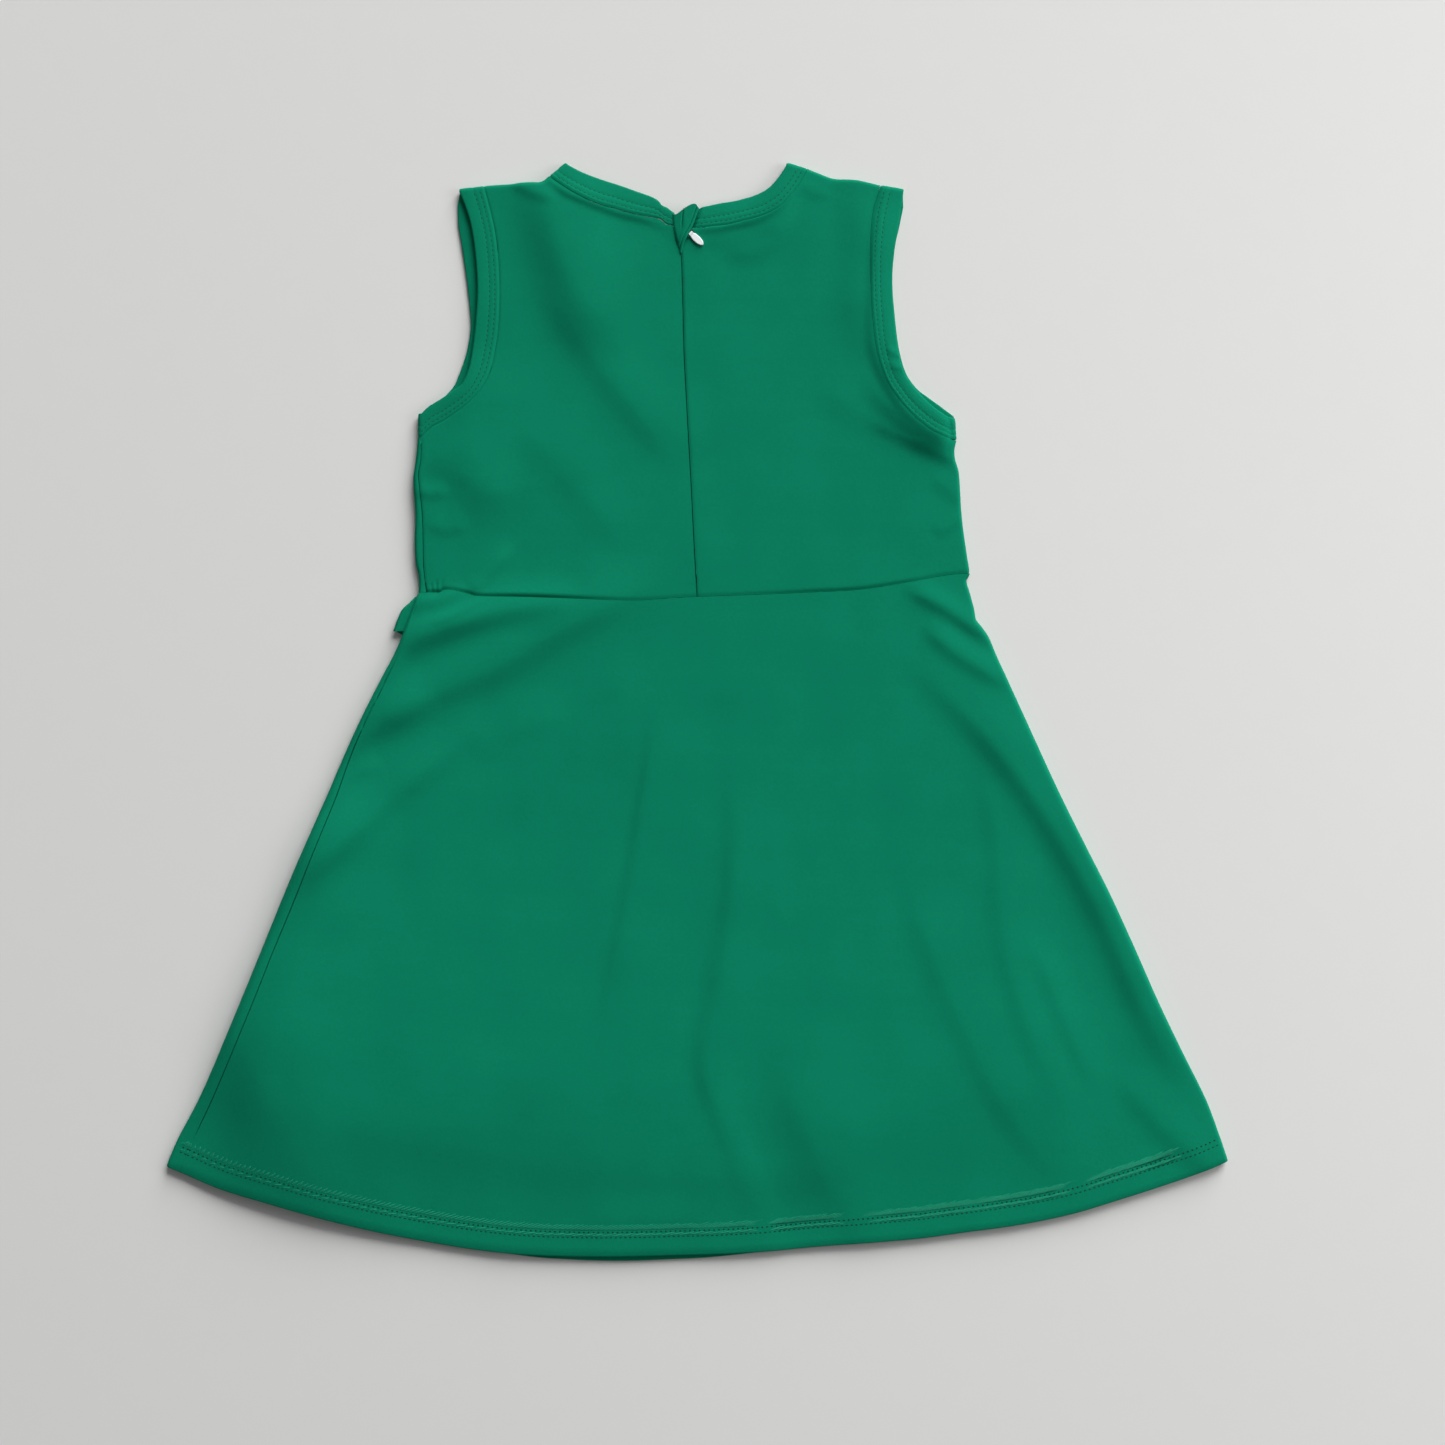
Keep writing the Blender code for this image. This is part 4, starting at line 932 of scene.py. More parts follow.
class Graph:
    """The node tree of one material."""

    def __init__(self, name: str) -> None:
        """Start a material that has a Principled shader and an output.

        Args:
            name: The material's name.
        """
        self.material = bpy.data.materials.new(name)
        self.material.use_nodes = True
        self.tree = self.material.node_tree
        self.shader = self.tree.nodes["Principled BSDF"]

    def node(self, kind: str, settings: dict, inputs: dict) -> bpy.types.Node:
        """Add a node.

        Args:
            kind: The node's type.
            settings: Its properties, which are set first.
            inputs: Values or outputs for its inputs, by name or number.

        Returns:
            The node.
        """
        made = self.tree.nodes.new(kind)
        for name, value in settings.items():
            setattr(made, name, value)
        for name, value in inputs.items():
            self.feed(made.inputs[name], value)
        return made

    def feed(self, socket: bpy.types.NodeSocket, value: object) -> None:
        """Link an output to an input, or set its value.

        Args:
            socket: The input.
            value: The output or the value.
        """
        if isinstance(value, Value):
            self.tree.links.new(value.socket, socket)
        else:
            socket.default_value = value

    def read(self, kind: str, settings: dict, inputs: dict, output: Union[int, str] = 0) -> Value:
        """Add a node and take one of its outputs."""
        return Value(self, self.node(kind, settings, inputs).outputs[output])

    def maths(self, operation: str, first: Number, second: Number = 0.0) -> Value:
        """Add a Math node."""
        return self.read("ShaderNodeMath", {"operation": operation}, {0: first, 1: second})

    def noise(self, where: Value, scale: float, detail: float = 2.0) -> Value:
        """Add a noise that varies about one half."""
        inputs = {"Vector": where, "Scale": scale, "Detail": detail, "Roughness": 0.55}
        return self.read("ShaderNodeTexNoise", {"noise_dimensions": "3D"}, inputs, "Fac")

    def shades(self, share: Number, color: Sequence[float], range_: float) -> Value:
        """Mix a darker and a lighter shade of one colour.

        Args:
            share: How much of the lighter one there is.
            color: The colour between them.
            range_: How far either is from it, as a share of its brightness.

        Returns:
            The mixed colour.
        """
        inputs = {0: share, 6: tinted(color, 1.0 - range_), 7: tinted(color, 1.0 + range_)}
        return self.read("ShaderNodeMix", {"data_type": "RGBA"}, inputs, 2)

    def object_place(self) -> Value:
        """Read the place on the piece, in metres."""
        return self.read("ShaderNodeTexCoord", {}, {}, "Object")

    def grain(self) -> tuple[Value, Value, Value]:
        """Read the place on the flat cloth, in millimetres, and its two parts.

        Returns:
            The place, its part across the wales and its part along them.
        """
        cloth = self.read("ShaderNodeAttribute", {"attribute_name": "grain"}, {}, "Vector")
        made = self.node("ShaderNodeSeparateXYZ", {}, {0: cloth})
        return cloth, Value(self, made.outputs[0]), Value(self, made.outputs[1])

    def surface(self, color: object, roughness: Number, bumps: Sequence[tuple[Value, float]],
                **fixed: object) -> bpy.types.Material:
        """Finish the shader.

        Args:
            color: The base colour.
            roughness: The roughness.
            bumps: Heights, each with its depth in metres, from coarse to fine.
            fixed: Values for other sockets, with underscores for spaces.

        Returns:
            The material.
        """
        for name, value in {"Base_Color": color, "Roughness": roughness, **fixed}.items():
            self.feed(self.shader.inputs[name.replace("_", " ")], value)
        normal = None
        for height, depth in bumps:
            inputs = {"Height": height, "Distance": depth, "Strength": 1.0}
            if normal:
                inputs["Normal"] = normal
            normal = self.read("ShaderNodeBump", {}, inputs)
        if normal:
            self.feed(self.shader.inputs["Normal"], normal)
        return self.material


def tinted(color: Sequence[float], factor: float) -> tuple[float, float, float, float]:
    """Scale a colour and add its alpha."""
    return (color[0] * factor, color[1] * factor, color[2] * factor, 1.0)


@dataclass(frozen=True)
class KnitFinish:
    """Dull double knit: columns of small slanted loops, a little uneven in shade."""

    name: str
    color: tuple[float, float, float]
    wale: float = 0.72
    course: float = 0.58
    depth: float = 0.00005
    slant: float = 1.4
    loop_shade: float = 0.10
    loop_mean: float = 0.3
    roughness: float = 0.86
    clouds: Mottle = Mottle(0.03, 3.0, 0.14)
    patches: Mottle = Mottle(0.55, 2.0, 0.16)
    fibres: Mottle = Mottle(3.2, 2.0, 0.10)

    def material(self) -> bpy.types.Material:
        """Build the knit.

        Returns:
            The knit.
        """
        graph = Graph(self.name)
        cloth, across, along = graph.grain()
        loop = (across / self.wale).fraction() - 0.5
        slant = abs(loop) * self.slant + along / self.course
        leg = 0.5 - 0.5 * (abs(loop) * (4 * pi)).cosine()
        loops = leg * (0.5 - 0.5 * (slant * (2 * pi)).cosine())
        shade = (loops - self.loop_mean) * self.loop_shade
        noises = []
        for mottle in (self.clouds, self.patches, self.fibres):
            noises.append(graph.noise(cloth, mottle.scale, mottle.detail))
            shade = shade + (noises[-1] - 0.5) * mottle.shade
        patched, fibre = noises[1:]
        color = graph.shades((shade + 0.5).within(0.0, 1.0), self.color, 0.5)
        rough = self.roughness + (fibre - 0.5) * 0.1
        bumps = [(patched, 0.00006), (loops, self.depth), (fibre, 0.00002)]
        return graph.surface(color, rough, bumps, Specular_IOR_Level=0.03, Sheen_Weight=0.08,
                             Sheen_Roughness=0.5, Sheen_Tint=(0.0, 0.8, 0.5, 1.0))


@dataclass(frozen=True)
class ThreadFinish:
    """Twisted sewing thread with a slight shine."""

    name: str
    color: tuple[float, float, float]

    def material(self) -> bpy.types.Material:
        """Build the thread.

        Returns:
            The thread.
        """
        graph = Graph(self.name)
        strand = graph.noise(graph.object_place(), 2600.0, 1.0)
        color = graph.shades(strand, self.color, 0.2)
        return graph.surface(color, 0.6, [(strand, 0.00004)], Specular_IOR_Level=0.15)


@dataclass(frozen=True)
class TapeFinish:
    """Close woven zip tape."""

    name: str
    color: tuple[float, float, float]
    pitch: float = 0.55

    def material(self) -> bpy.types.Material:
        """Build the weave.

        Returns:
            The weave.
        """
        graph = Graph(self.name)
        cloth, across, along = graph.grain()
        warp = (across * (2 * pi / self.pitch)).cosine()
        weft = (along * (2 * pi / self.pitch)).cosine()
        weave = warp * weft * 0.5 + 0.5
        worn = graph.noise(cloth, 0.8)
        color = graph.shades((weave * 0.3 + worn * 0.5).within(0.0, 1.0), self.color, 0.25)
        return graph.surface(color, 0.8, [(weave, 0.00006)], Specular_IOR_Level=0.1)


@dataclass(frozen=True)
class EnamelFinish:
    """Smooth paint or moulded plastic with a soft shine."""

    name: str
    color: tuple[float, float, float]
    roughness: float
    orange_peel: float = 0.000004

    def material(self) -> bpy.types.Material:
        """Build the enamel.

        Returns:
            The enamel.
        """
        graph = Graph(self.name)
        place = graph.object_place()
        peel = graph.noise(place, 900.0)
        worn = graph.noise(place, 300.0, 3.0)
        color = graph.shades((worn * 0.5 + 0.25).within(0.0, 1.0), self.color, 0.06)
        rough = self.roughness + (worn - 0.5) * 0.08
        return graph.surface(color, rough, [(peel, self.orange_peel)], Coat_Weight=0.3,
                             Coat_Roughness=0.2)


@dataclass(frozen=True)
class FloorFinish:
    """Plain pale floor."""

    name: str = "pale_floor"
    color: tuple[float, float, float] = (0.78, 0.78, 0.77)

    def material(self) -> bpy.types.Material:
        """Build the floor.

        Returns:
            The floor's material.
        """
        graph = Graph(self.name)
        soft = graph.noise(graph.object_place(), 60.0, 3.0)
        color = graph.shades((soft * 0.6 + 0.2).within(0.0, 1.0), self.color, 0.015)
        return graph.surface(color, 0.95, [], Specular_IOR_Level=0.1)


@dataclass(frozen=True)
class Finishes:
    """Every finish of the dress."""

    knit: bpy.types.Material
    band: bpy.types.Material
    tape: bpy.types.Material
    slider: bpy.types.Material
    pull: bpy.types.Material
    band_thread_painted_shade: bpy.types.Material
    hem_stitch_painted_shade: bpy.types.Material
    hem_thread: bpy.types.Material
    floor: bpy.types.Material

    @classmethod
    def build(cls) -> "Finishes":
        """Make the materials once.

        Returns:
            The finishes.
        """
        return cls(*(finish.material() for finish in (
            KnitFinish("green_double_knit", GREEN),
            KnitFinish("green_band_knit", GREEN, wale=0.66, course=0.55),
            TapeFinish("green_zip_tape", tinted(GREEN, 0.6)[:3]),
            EnamelFinish("green_enamel", tinted(GREEN, 0.55)[:3], 0.38),
            EnamelFinish("white_pull_plastic", (0.90, 0.94, 0.95), 0.28),
            # Band stitches: real thread, but its dark colour is painted shade of the grooves and needle
            # holes that it sits in
            ThreadFinish("band_thread_dark_painted_shade", tinted(GREEN, 0.42)[:3]),
            # Hem dots and dashes: real stitches, coloured very dark as painted shade of their needle
            # holes
            ThreadFinish("hem_thread_dark_painted_shade", tinted(GREEN, 0.25)[:3]),
            ThreadFinish("light_green_thread", (0.012, 0.268, 0.152)),
            FloorFinish(),
        )))


def object_from(name: str, mesh: bmesh.types.BMesh, finish: bpy.types.Material) -> bpy.types.Object:
    """Turn an edit mesh into a piece that rides on the dress.

    Args:
        name: The piece's name.
        mesh: The edit mesh, which is freed.
        finish: Its material.

    Returns:
        The piece.
    """
    data = bpy.data.meshes.new(name)
    mesh.to_mesh(data)
    mesh.free()
    data.materials.append(finish)
    data.shade_smooth()
    piece = bpy.data.objects.new(name, data)
    bpy.context.scene.collection.objects.link(piece)
    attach(piece, BODY)
    return piece


def weld_grids(name: str, lays: Sequence[Lay], wall: float, finish: bpy.types.Material,
               closed: bool = False) -> bpy.types.Object:
    """Make one cloth piece from grids that share edges, and give it a wall.

    Args:
        name: The piece's name.
        lays: How each of its grids lies.
        wall: The wall's thickness in millimetres.
        finish: Its material.
        closed: Whether the last row meets the first, as on a ring.

    Returns:
        The piece.
    """
    mesh = bmesh.new()
    grain = mesh.verts.layers.float_vector.new("grain")
    for lay in lays:
        points = lay.points()
        rows, columns = points.shape[:2]
        grid = bmesh.ops.create_grid(mesh, x_segments=columns - 1, y_segments=rows - 1, size=1.0)
        charts = lay.grain.reshape(-1, 2)
        for vertex, point, chart in zip(grid["verts"], points.reshape(-1, 3), charts):
            vertex.co = Vector(point) * MM
            vertex[grain] = (chart[0], chart[1], 0.0)
    if len(lays) > 1 or closed:
        bmesh.ops.remove_doubles(mesh, verts=mesh.verts, dist=WELD)
    bmesh.ops.recalc_face_normals(mesh, faces=mesh.faces)
    for edge in mesh.edges:
        edge.smooth = not edge.is_boundary
    piece = object_from(name, mesh, finish)
    shell = piece.modifiers.new("wall", "SOLIDIFY")
    shell.thickness = wall * MM
    shell.offset = 0.0
    shell.use_even_offset = False
    return piece


def declare_sheet(piece: bpy.types.Object, node: str,
                  cut: tuple[float, float], area: Optional[float] = None, digits: int = 5) -> None:
    """Hide the solid that a piece stands for, and log the piece's faces and the area of its cut.

    Args:
        piece: The cloth.
        node: The solid.
        cut: The width and length of the cut's box, in metres.
        area: The cut's area in square metres, or None for that of the cloth before its wall.
        digits: How finely the cloth's own area is stated.
    """
    if area is None:
        cloth = sum(face.area for face in piece.data.polygons)
        area = round(min(cloth, cut[0] * cut[1]), digits)
    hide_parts(node)
    LOG.info("%s: %d faces, %.5f square metres", piece.name, len(piece.data.polygons), area)


@dataclass(frozen=True)
class Bodice:
    """The upper part: two back panels either side of the zip, and a one-piece front."""

    seam_sink: float = 0.22
    seam_width: float = 0.7
    left_seam_share: float = 0.3
    waist_width: float = 1.0
    zip_sink: float = 0.32
    zip_width: float = 0.8
    zip_gap: float = 0.24
    neck_gap: float = 0.42

    def build(self, finishes: Finishes) -> None:
        """Make the three panels.

        Args:
            finishes: The dress's finishes.
        """
        for name, lays, node, rests_on, cut in (
            ("back_left_panel", self.back_left(), "back_bodice_left", ("front_panel",), (0.153, 0.245)),
            ("back_right_panel", self.back_right(), "back_bodice_right", ("front_panel",),
             (0.170, 0.248)),
            ("front_panel", self.front(), "front_bodice", (), (0.312, 0.228)),
        ):
            piece = weld_grids(name, lays, SIZE.wall, finishes.knit)
            declare_sheet(piece, node, cut)

    def back_left(self) -> list[Lay]:
        """Lay the left back panel, which rolls over the left shoulder.

        Returns:
            The panel's one grid.
        """
        side = resample(BODICE_LEFT, STEPS.side, STEPS.up_crowding)
        left = joined(side[:, 2:0:-1], resample(ARMHOLE_LEFT_BACK, STEPS.armhole)[:, :2])
        right = self.slit_and_neck(CENTRE_TOP_LEFT, NECK_BACK_LEFT)
        grid = self.between(WAIST_BACK_LEFT, SHOULDER_LEFT, left, right)
        trim(grid, Side.LEFT, SIZE.seam_gap)
        self.trim_sewn(grid, Side.RIGHT)
        upper = Lay.flat(grid, Turn.UPPER)
        upper.sink(Side.LEFT, self.seam_sink, self.seam_width)
        upper.sink(Side.BOTTOM, seam_depth(grid[0]), self.waist_width)
        return [self.over_shoulder(upper, LEFT_SHOULDER_OUT, SHOULDER_SEAM_LEFT)]

    def back_right(self) -> list[Lay]:
        """Lay the right back panel, which also rolls under the right side.

        Returns:
            The panel's two grids.
        """
        side = side_fold(resample(BODICE_RIGHT, STEPS.side, STEPS.up_crowding), RIGHT_OUT)
        right = joined(side, resample(ARMHOLE_RIGHT_BACK, STEPS.armhole)[:, :2])
        left = self.slit_and_neck(CENTRE_TOP_RIGHT, NECK_BACK_RIGHT)
        grid = self.between(WAIST_BACK_RIGHT, SHOULDER_RIGHT, left, right)
        trim(grid, Side.RIGHT, SIZE.seam_gap, slice(STEPS.side + 1, None))
        self.trim_sewn(grid, Side.LEFT)
        grid[STEPS.side, -1, 1] -= SIZE.seam_gap
        upper = Lay.flat(grid, Turn.UPPER)
        up_zip = np.arange(len(grid)) / STEPS.centre
        upper.sink(Side.LEFT, self.zip_sink * (0.5 + up_zip) * (up_zip <= 1.0), self.zip_width)
        upper.sink(Side.BOTTOM, seam_depth(grid[0]), self.waist_width)
        lay = self.over_shoulder(upper, RIGHT_SHOULDER_OUT, SHOULDER_SEAM_RIGHT)
        return [lay, self.under_side(upper.part(slice(STEPS.side + 1), -1))]

    def between(self, waist: Sequence[Spot], shoulder: Sequence[Spot], left: np.ndarray,
                right: np.ndarray) -> np.ndarray:
        """Fill a back panel between its four edges, closer together near the zip.

        Args:
            waist: The waist's knots.
            shoulder: The shoulder's knots.
            left: The left edge's places, from the waist up.
            right: The right edge's places, from the waist up.

        Returns:
            The grid of places.
        """
        across, crowding = STEPS.bodice_across, STEPS.across_crowding
        return patch(resample(waist, across, crowding), resample(shoulder, across, crowding),
                     left, right)

    def slit_and_neck(self, top: Spot, neck: Sequence[BandRow]) -> np.ndarray:
        """Return a back panel's inner edge, up the slit and along the neck."""
        centre = resample(CENTRE_BACK + (top,), STEPS.centre, STEPS.up_crowding)
        return joined(centre, resample(neck, STEPS.neck)[:, :2])

    def trim_sewn(self, grid: np.ndarray, inner: Side) -> None:
        """Trim a back panel at the slit, the neck and the waist.

        Args:
            grid: The panel's places, which are changed.
            inner: The side with the slit and the neck.
        """
        trim(grid, inner, self.zip_gap, slice(None, STEPS.centre + 1))
        trim(grid, inner, self.neck_gap, slice(STEPS.centre + 1, None))
        trim(grid, Side.BOTTOM, SIZE.seam_gap)

    def over_shoulder(self, upper: Lay, outs: Sequence, seam: Sequence[Spot]) -> Lay:
        """Continue a back panel over its shoulder to the seam under it.

        Args:
            upper: How the panel lies on the upper layer.
            outs: The directions in which the shoulder's two ends roll.
            seam: The knots of the seam on the lower layer.

        Returns:
            The panel with its shoulder.
        """
        count = upper.place.shape[1]
        over = rolled(upper.part(-1), turned_between(*outs, count), resample(seam, count - 1),
                      Turn.UPPER)
        over.sink(Side.RIGHT, self.seam_sink, self.seam_width)
        return upper.below(over.each(lambda grid: np.swapaxes(grid, 0, 1)))

    def under_side(self, edge: Lay) -> Lay:
        """Continue the right back panel round the side and a little under it.

        Args:
            edge: How the panel lies along its side.

        Returns:
            The strip that goes round.
        """
        ways = side_ways(edge.place, RIGHT_OUT, (0, -1))
        far = edge.place - ways * SIZE.under_turn
        corner = ARMHOLE_RIGHT_FRONT[0]
        far[-1] = (corner.seam_x, corner.seam_y - SIZE.seam_gap)
        under = rolled(edge, ways, far, Turn.UPPER)
        under.sink(Side.RIGHT, self.seam_sink, self.seam_width)
        return under

    def front(self) -> list[Lay]:
        """Lay the front, which rolls up round the left side to its seam.

        Returns:
            The panel's three grids.
        """
        side = resample(BODICE_LEFT, STEPS.side)
        across, gap = STEPS.front_across, SIZE.seam_gap
        waist = resample(WAIST_FRONT, 2 * across)
        centre = resample((waist[across], *CENTRE_FRONT), STEPS.centre)
        armhole = resample(ARMHOLE_LEFT_FRONT, STEPS.armhole)[::-1, :2]
        neck = resample(NECK_FRONT[:NECK_FRONT_MIDDLE + 1], STEPS.neck)[::-1, :2]
        left = patch(waist[:across + 1], resample(SHOULDER_SEAM_LEFT, across),
                     joined(side_fold(side, LEFT_OUT), armhole), joined(centre, neck))
        trim(left, Side.LEFT, gap, slice(STEPS.side + 1, None))
        trim(left, Side.RIGHT, gap, slice(STEPS.centre + 1, None))
        fold = side_fold(resample(BODICE_RIGHT, STEPS.side), RIGHT_OUT)
        seam = fold - side_ways(fold, RIGHT_OUT, (0, -1)) * SIZE.under_turn
        seam[-1] = ARMHOLE_RIGHT_FRONT[0][:2]
        armhole = resample(ARMHOLE_RIGHT_FRONT, STEPS.armhole)[:, :2]
        neck = resample(NECK_FRONT[NECK_FRONT_MIDDLE:], STEPS.neck)[:, :2]
        right = patch(waist[across:], resample(SHOULDER_SEAM_RIGHT, across),
                      joined(centre, neck), joined(seam, armhole))
        trim(right, Side.LEFT, gap, slice(STEPS.centre + 1, None))
        trim(right, Side.RIGHT, gap)
        for half in (left, right):
            trim(half, Side.BOTTOM, gap)
            trim(half, Side.TOP, gap)
        left[STEPS.side, 0, 1] -= gap
        left[STEPS.centre, -1, 1] -= gap
        right[:STEPS.centre + 1, 0] = left[:STEPS.centre + 1, -1]
        lays = [Lay.flat(half, Turn.LOWER) for half in (left, right)]
        return lays + [self.round_side(lays[0].part(slice(STEPS.side + 1), 0), side[:, 2])]

    def round_side(self, edge: Lay, seam_x: np.ndarray) -> Lay:
        """Continue the front up round the left side to its seam on the upper layer.

        Args:
            edge: How the panel lies along its side.
            seam_x: Where the seam lies on the upper layer.

        Returns:
            The strip that goes round.
        """
        far = np.column_stack([seam_x - SIZE.seam_gap, edge.place[:, 1]])
        strip = rolled(edge, side_ways(edge.place, LEFT_OUT, (0, -1)), far, Turn.LOWER)
        strip.sink(Side.RIGHT, self.left_seam_share * self.seam_sink, self.seam_width)
        return strip


@dataclass(frozen=True)
class Stitch:
    """One stitch: its two ends, the way up, and its thread's width and height."""

    start: np.ndarray
    end: np.ndarray
    up: np.ndarray
    width: float
    height: float

    def matrix(self) -> Matrix:
        """Return the transform that lays a unit ball along the stitch.

        Returns:
            The transform, in metres.
        """
        along = Vector(self.end - self.start) * MM
        side = Vector(self.up).cross(along).normalized()
        axes = Matrix((side * self.width * MM / 2, along / 2,
                       Vector(self.up) * self.height * MM / 2)).transposed().to_4x4()
        return Matrix.Translation(Vector(self.start + self.end) / 2 * MM) @ axes


@dataclass(frozen=True)
class StitchRun:
    """The measure of a row of stitches: their pitch, its filled share, and the thread's section."""

    pitch: float
    filled: float
    width: float
    height: float

    def spaced(self, line: np.ndarray, normals: np.ndarray) -> tuple[np.ndarray, np.ndarray]:
        """Space the points and their directions evenly, one pitch apart.

        Args:
            line: The row's points.
            normals: Their outward directions.

        Returns:
            The spaced points, and their directions.
        """
        run = travelled(line)
        wanted = np.arange(0.0, run[-1], self.pitch)
        return read_off(wanted, run, line), unit(read_off(wanted, run, normals))

    def stitch(self, start: np.ndarray, end: np.ndarray, up: np.ndarray) -> Stitch:
        """Make one stitch of the row."""
        return Stitch(start, end, up, self.width, self.height)

    def straight(self, line: np.ndarray, normals: np.ndarray) -> list[Stitch]:
        """Lay stitches end to end along a line, with a gap at each needle hole.

        Args:
            line: The row's points.
            normals: Their outward directions.

        Returns:
            The stitches.
        """
        places, ways = self.spaced(line, normals)
        return [self.stitch(start, start + (end - start) * self.filled, up)
                for start, end, up in zip(places, places[1:], ways)]

    def zigzag(self, low: np.ndarray, high: np.ndarray, normals: np.ndarray, reach: float,
               start_at: float) -> list[Stitch]:
        """Lay slanting threads from near one row up towards another.

        Args:
            low: The lower row.
            high: The upper row, with as many points.
            normals: The outward directions.
            reach: How far up a thread ends, as a share of the way.
            start_at: How far up it starts.

        Returns:
            The stitches.
        """
        places, ways = self.spaced(low, normals)
        share = np.linspace(0.0, 1.0, len(places))
        steps = read_off(share, np.linspace(0.0, 1.0, len(high)), high) - places
        stitches = []
        for index in range(len(places) - 1):
            uneven = sum(size * np.sin(rate * index) for size, rate in STITCH_UNEVEN)
            last = index + index % 2
            stitches.append(self.stitch(places[index] + steps[index] * start_at,
                                        places[last] + steps[last] * (reach + uneven), ways[index]))
        return stitches


def sew(name: str, stitches: Sequence[Stitch], finish: bpy.types.Material) -> None:
    """Make stitches one piece, each of them a short plump thread.

    Args:
        name: The piece's name.
        stitches: The stitches.
        finish: The thread.
    """
    mesh = bmesh.new()
    for first in range(0, len(stitches), STITCHES_AT_ONCE):
        few = bmesh.new()
        for stitch in stitches[first:first + STITCHES_AT_ONCE]:
            bmesh.ops.create_uvsphere(few, u_segments=6, v_segments=4, radius=1.0,
                                      matrix=stitch.matrix())
        kept = bpy.data.meshes.new(name)
        few.to_mesh(kept)
        few.free()
        mesh.from_mesh(kept)
        bpy.data.meshes.remove(kept)
    bmesh.ops.recalc_face_normals(mesh, faces=mesh.faces)
    object_from(name, mesh, finish)
    LOG.info("%s: %d stitches", name, len(stitches))


def row_on(lay: Lay, distance: float, rise: float) -> tuple[np.ndarray, np.ndarray]:
    """Trace a row across a panel at a set distance from its first row.

    Args:
        lay: How the panel lies.
        distance: How far up from the hem's edge.
        rise: How far out from the middle of the cloth's wall.

    Returns:
        The points of the row and their outward directions.
    """
    run = travelled(lay.place)
    below = (run <= distance).sum(axis=0) - 1
    columns = np.arange(run.shape[1])
    gap = run[below + 1, columns] - run[below, columns]
    share = ((distance - run[below, columns]) / gap)[:, None]
    low, high = (lay.part(index, columns) for index in (below, below + 1))
    row = replace(low, place=low.place * (1 - share) + high.place * share, rise=low.rise + rise)
    return row.points(), row.normals()


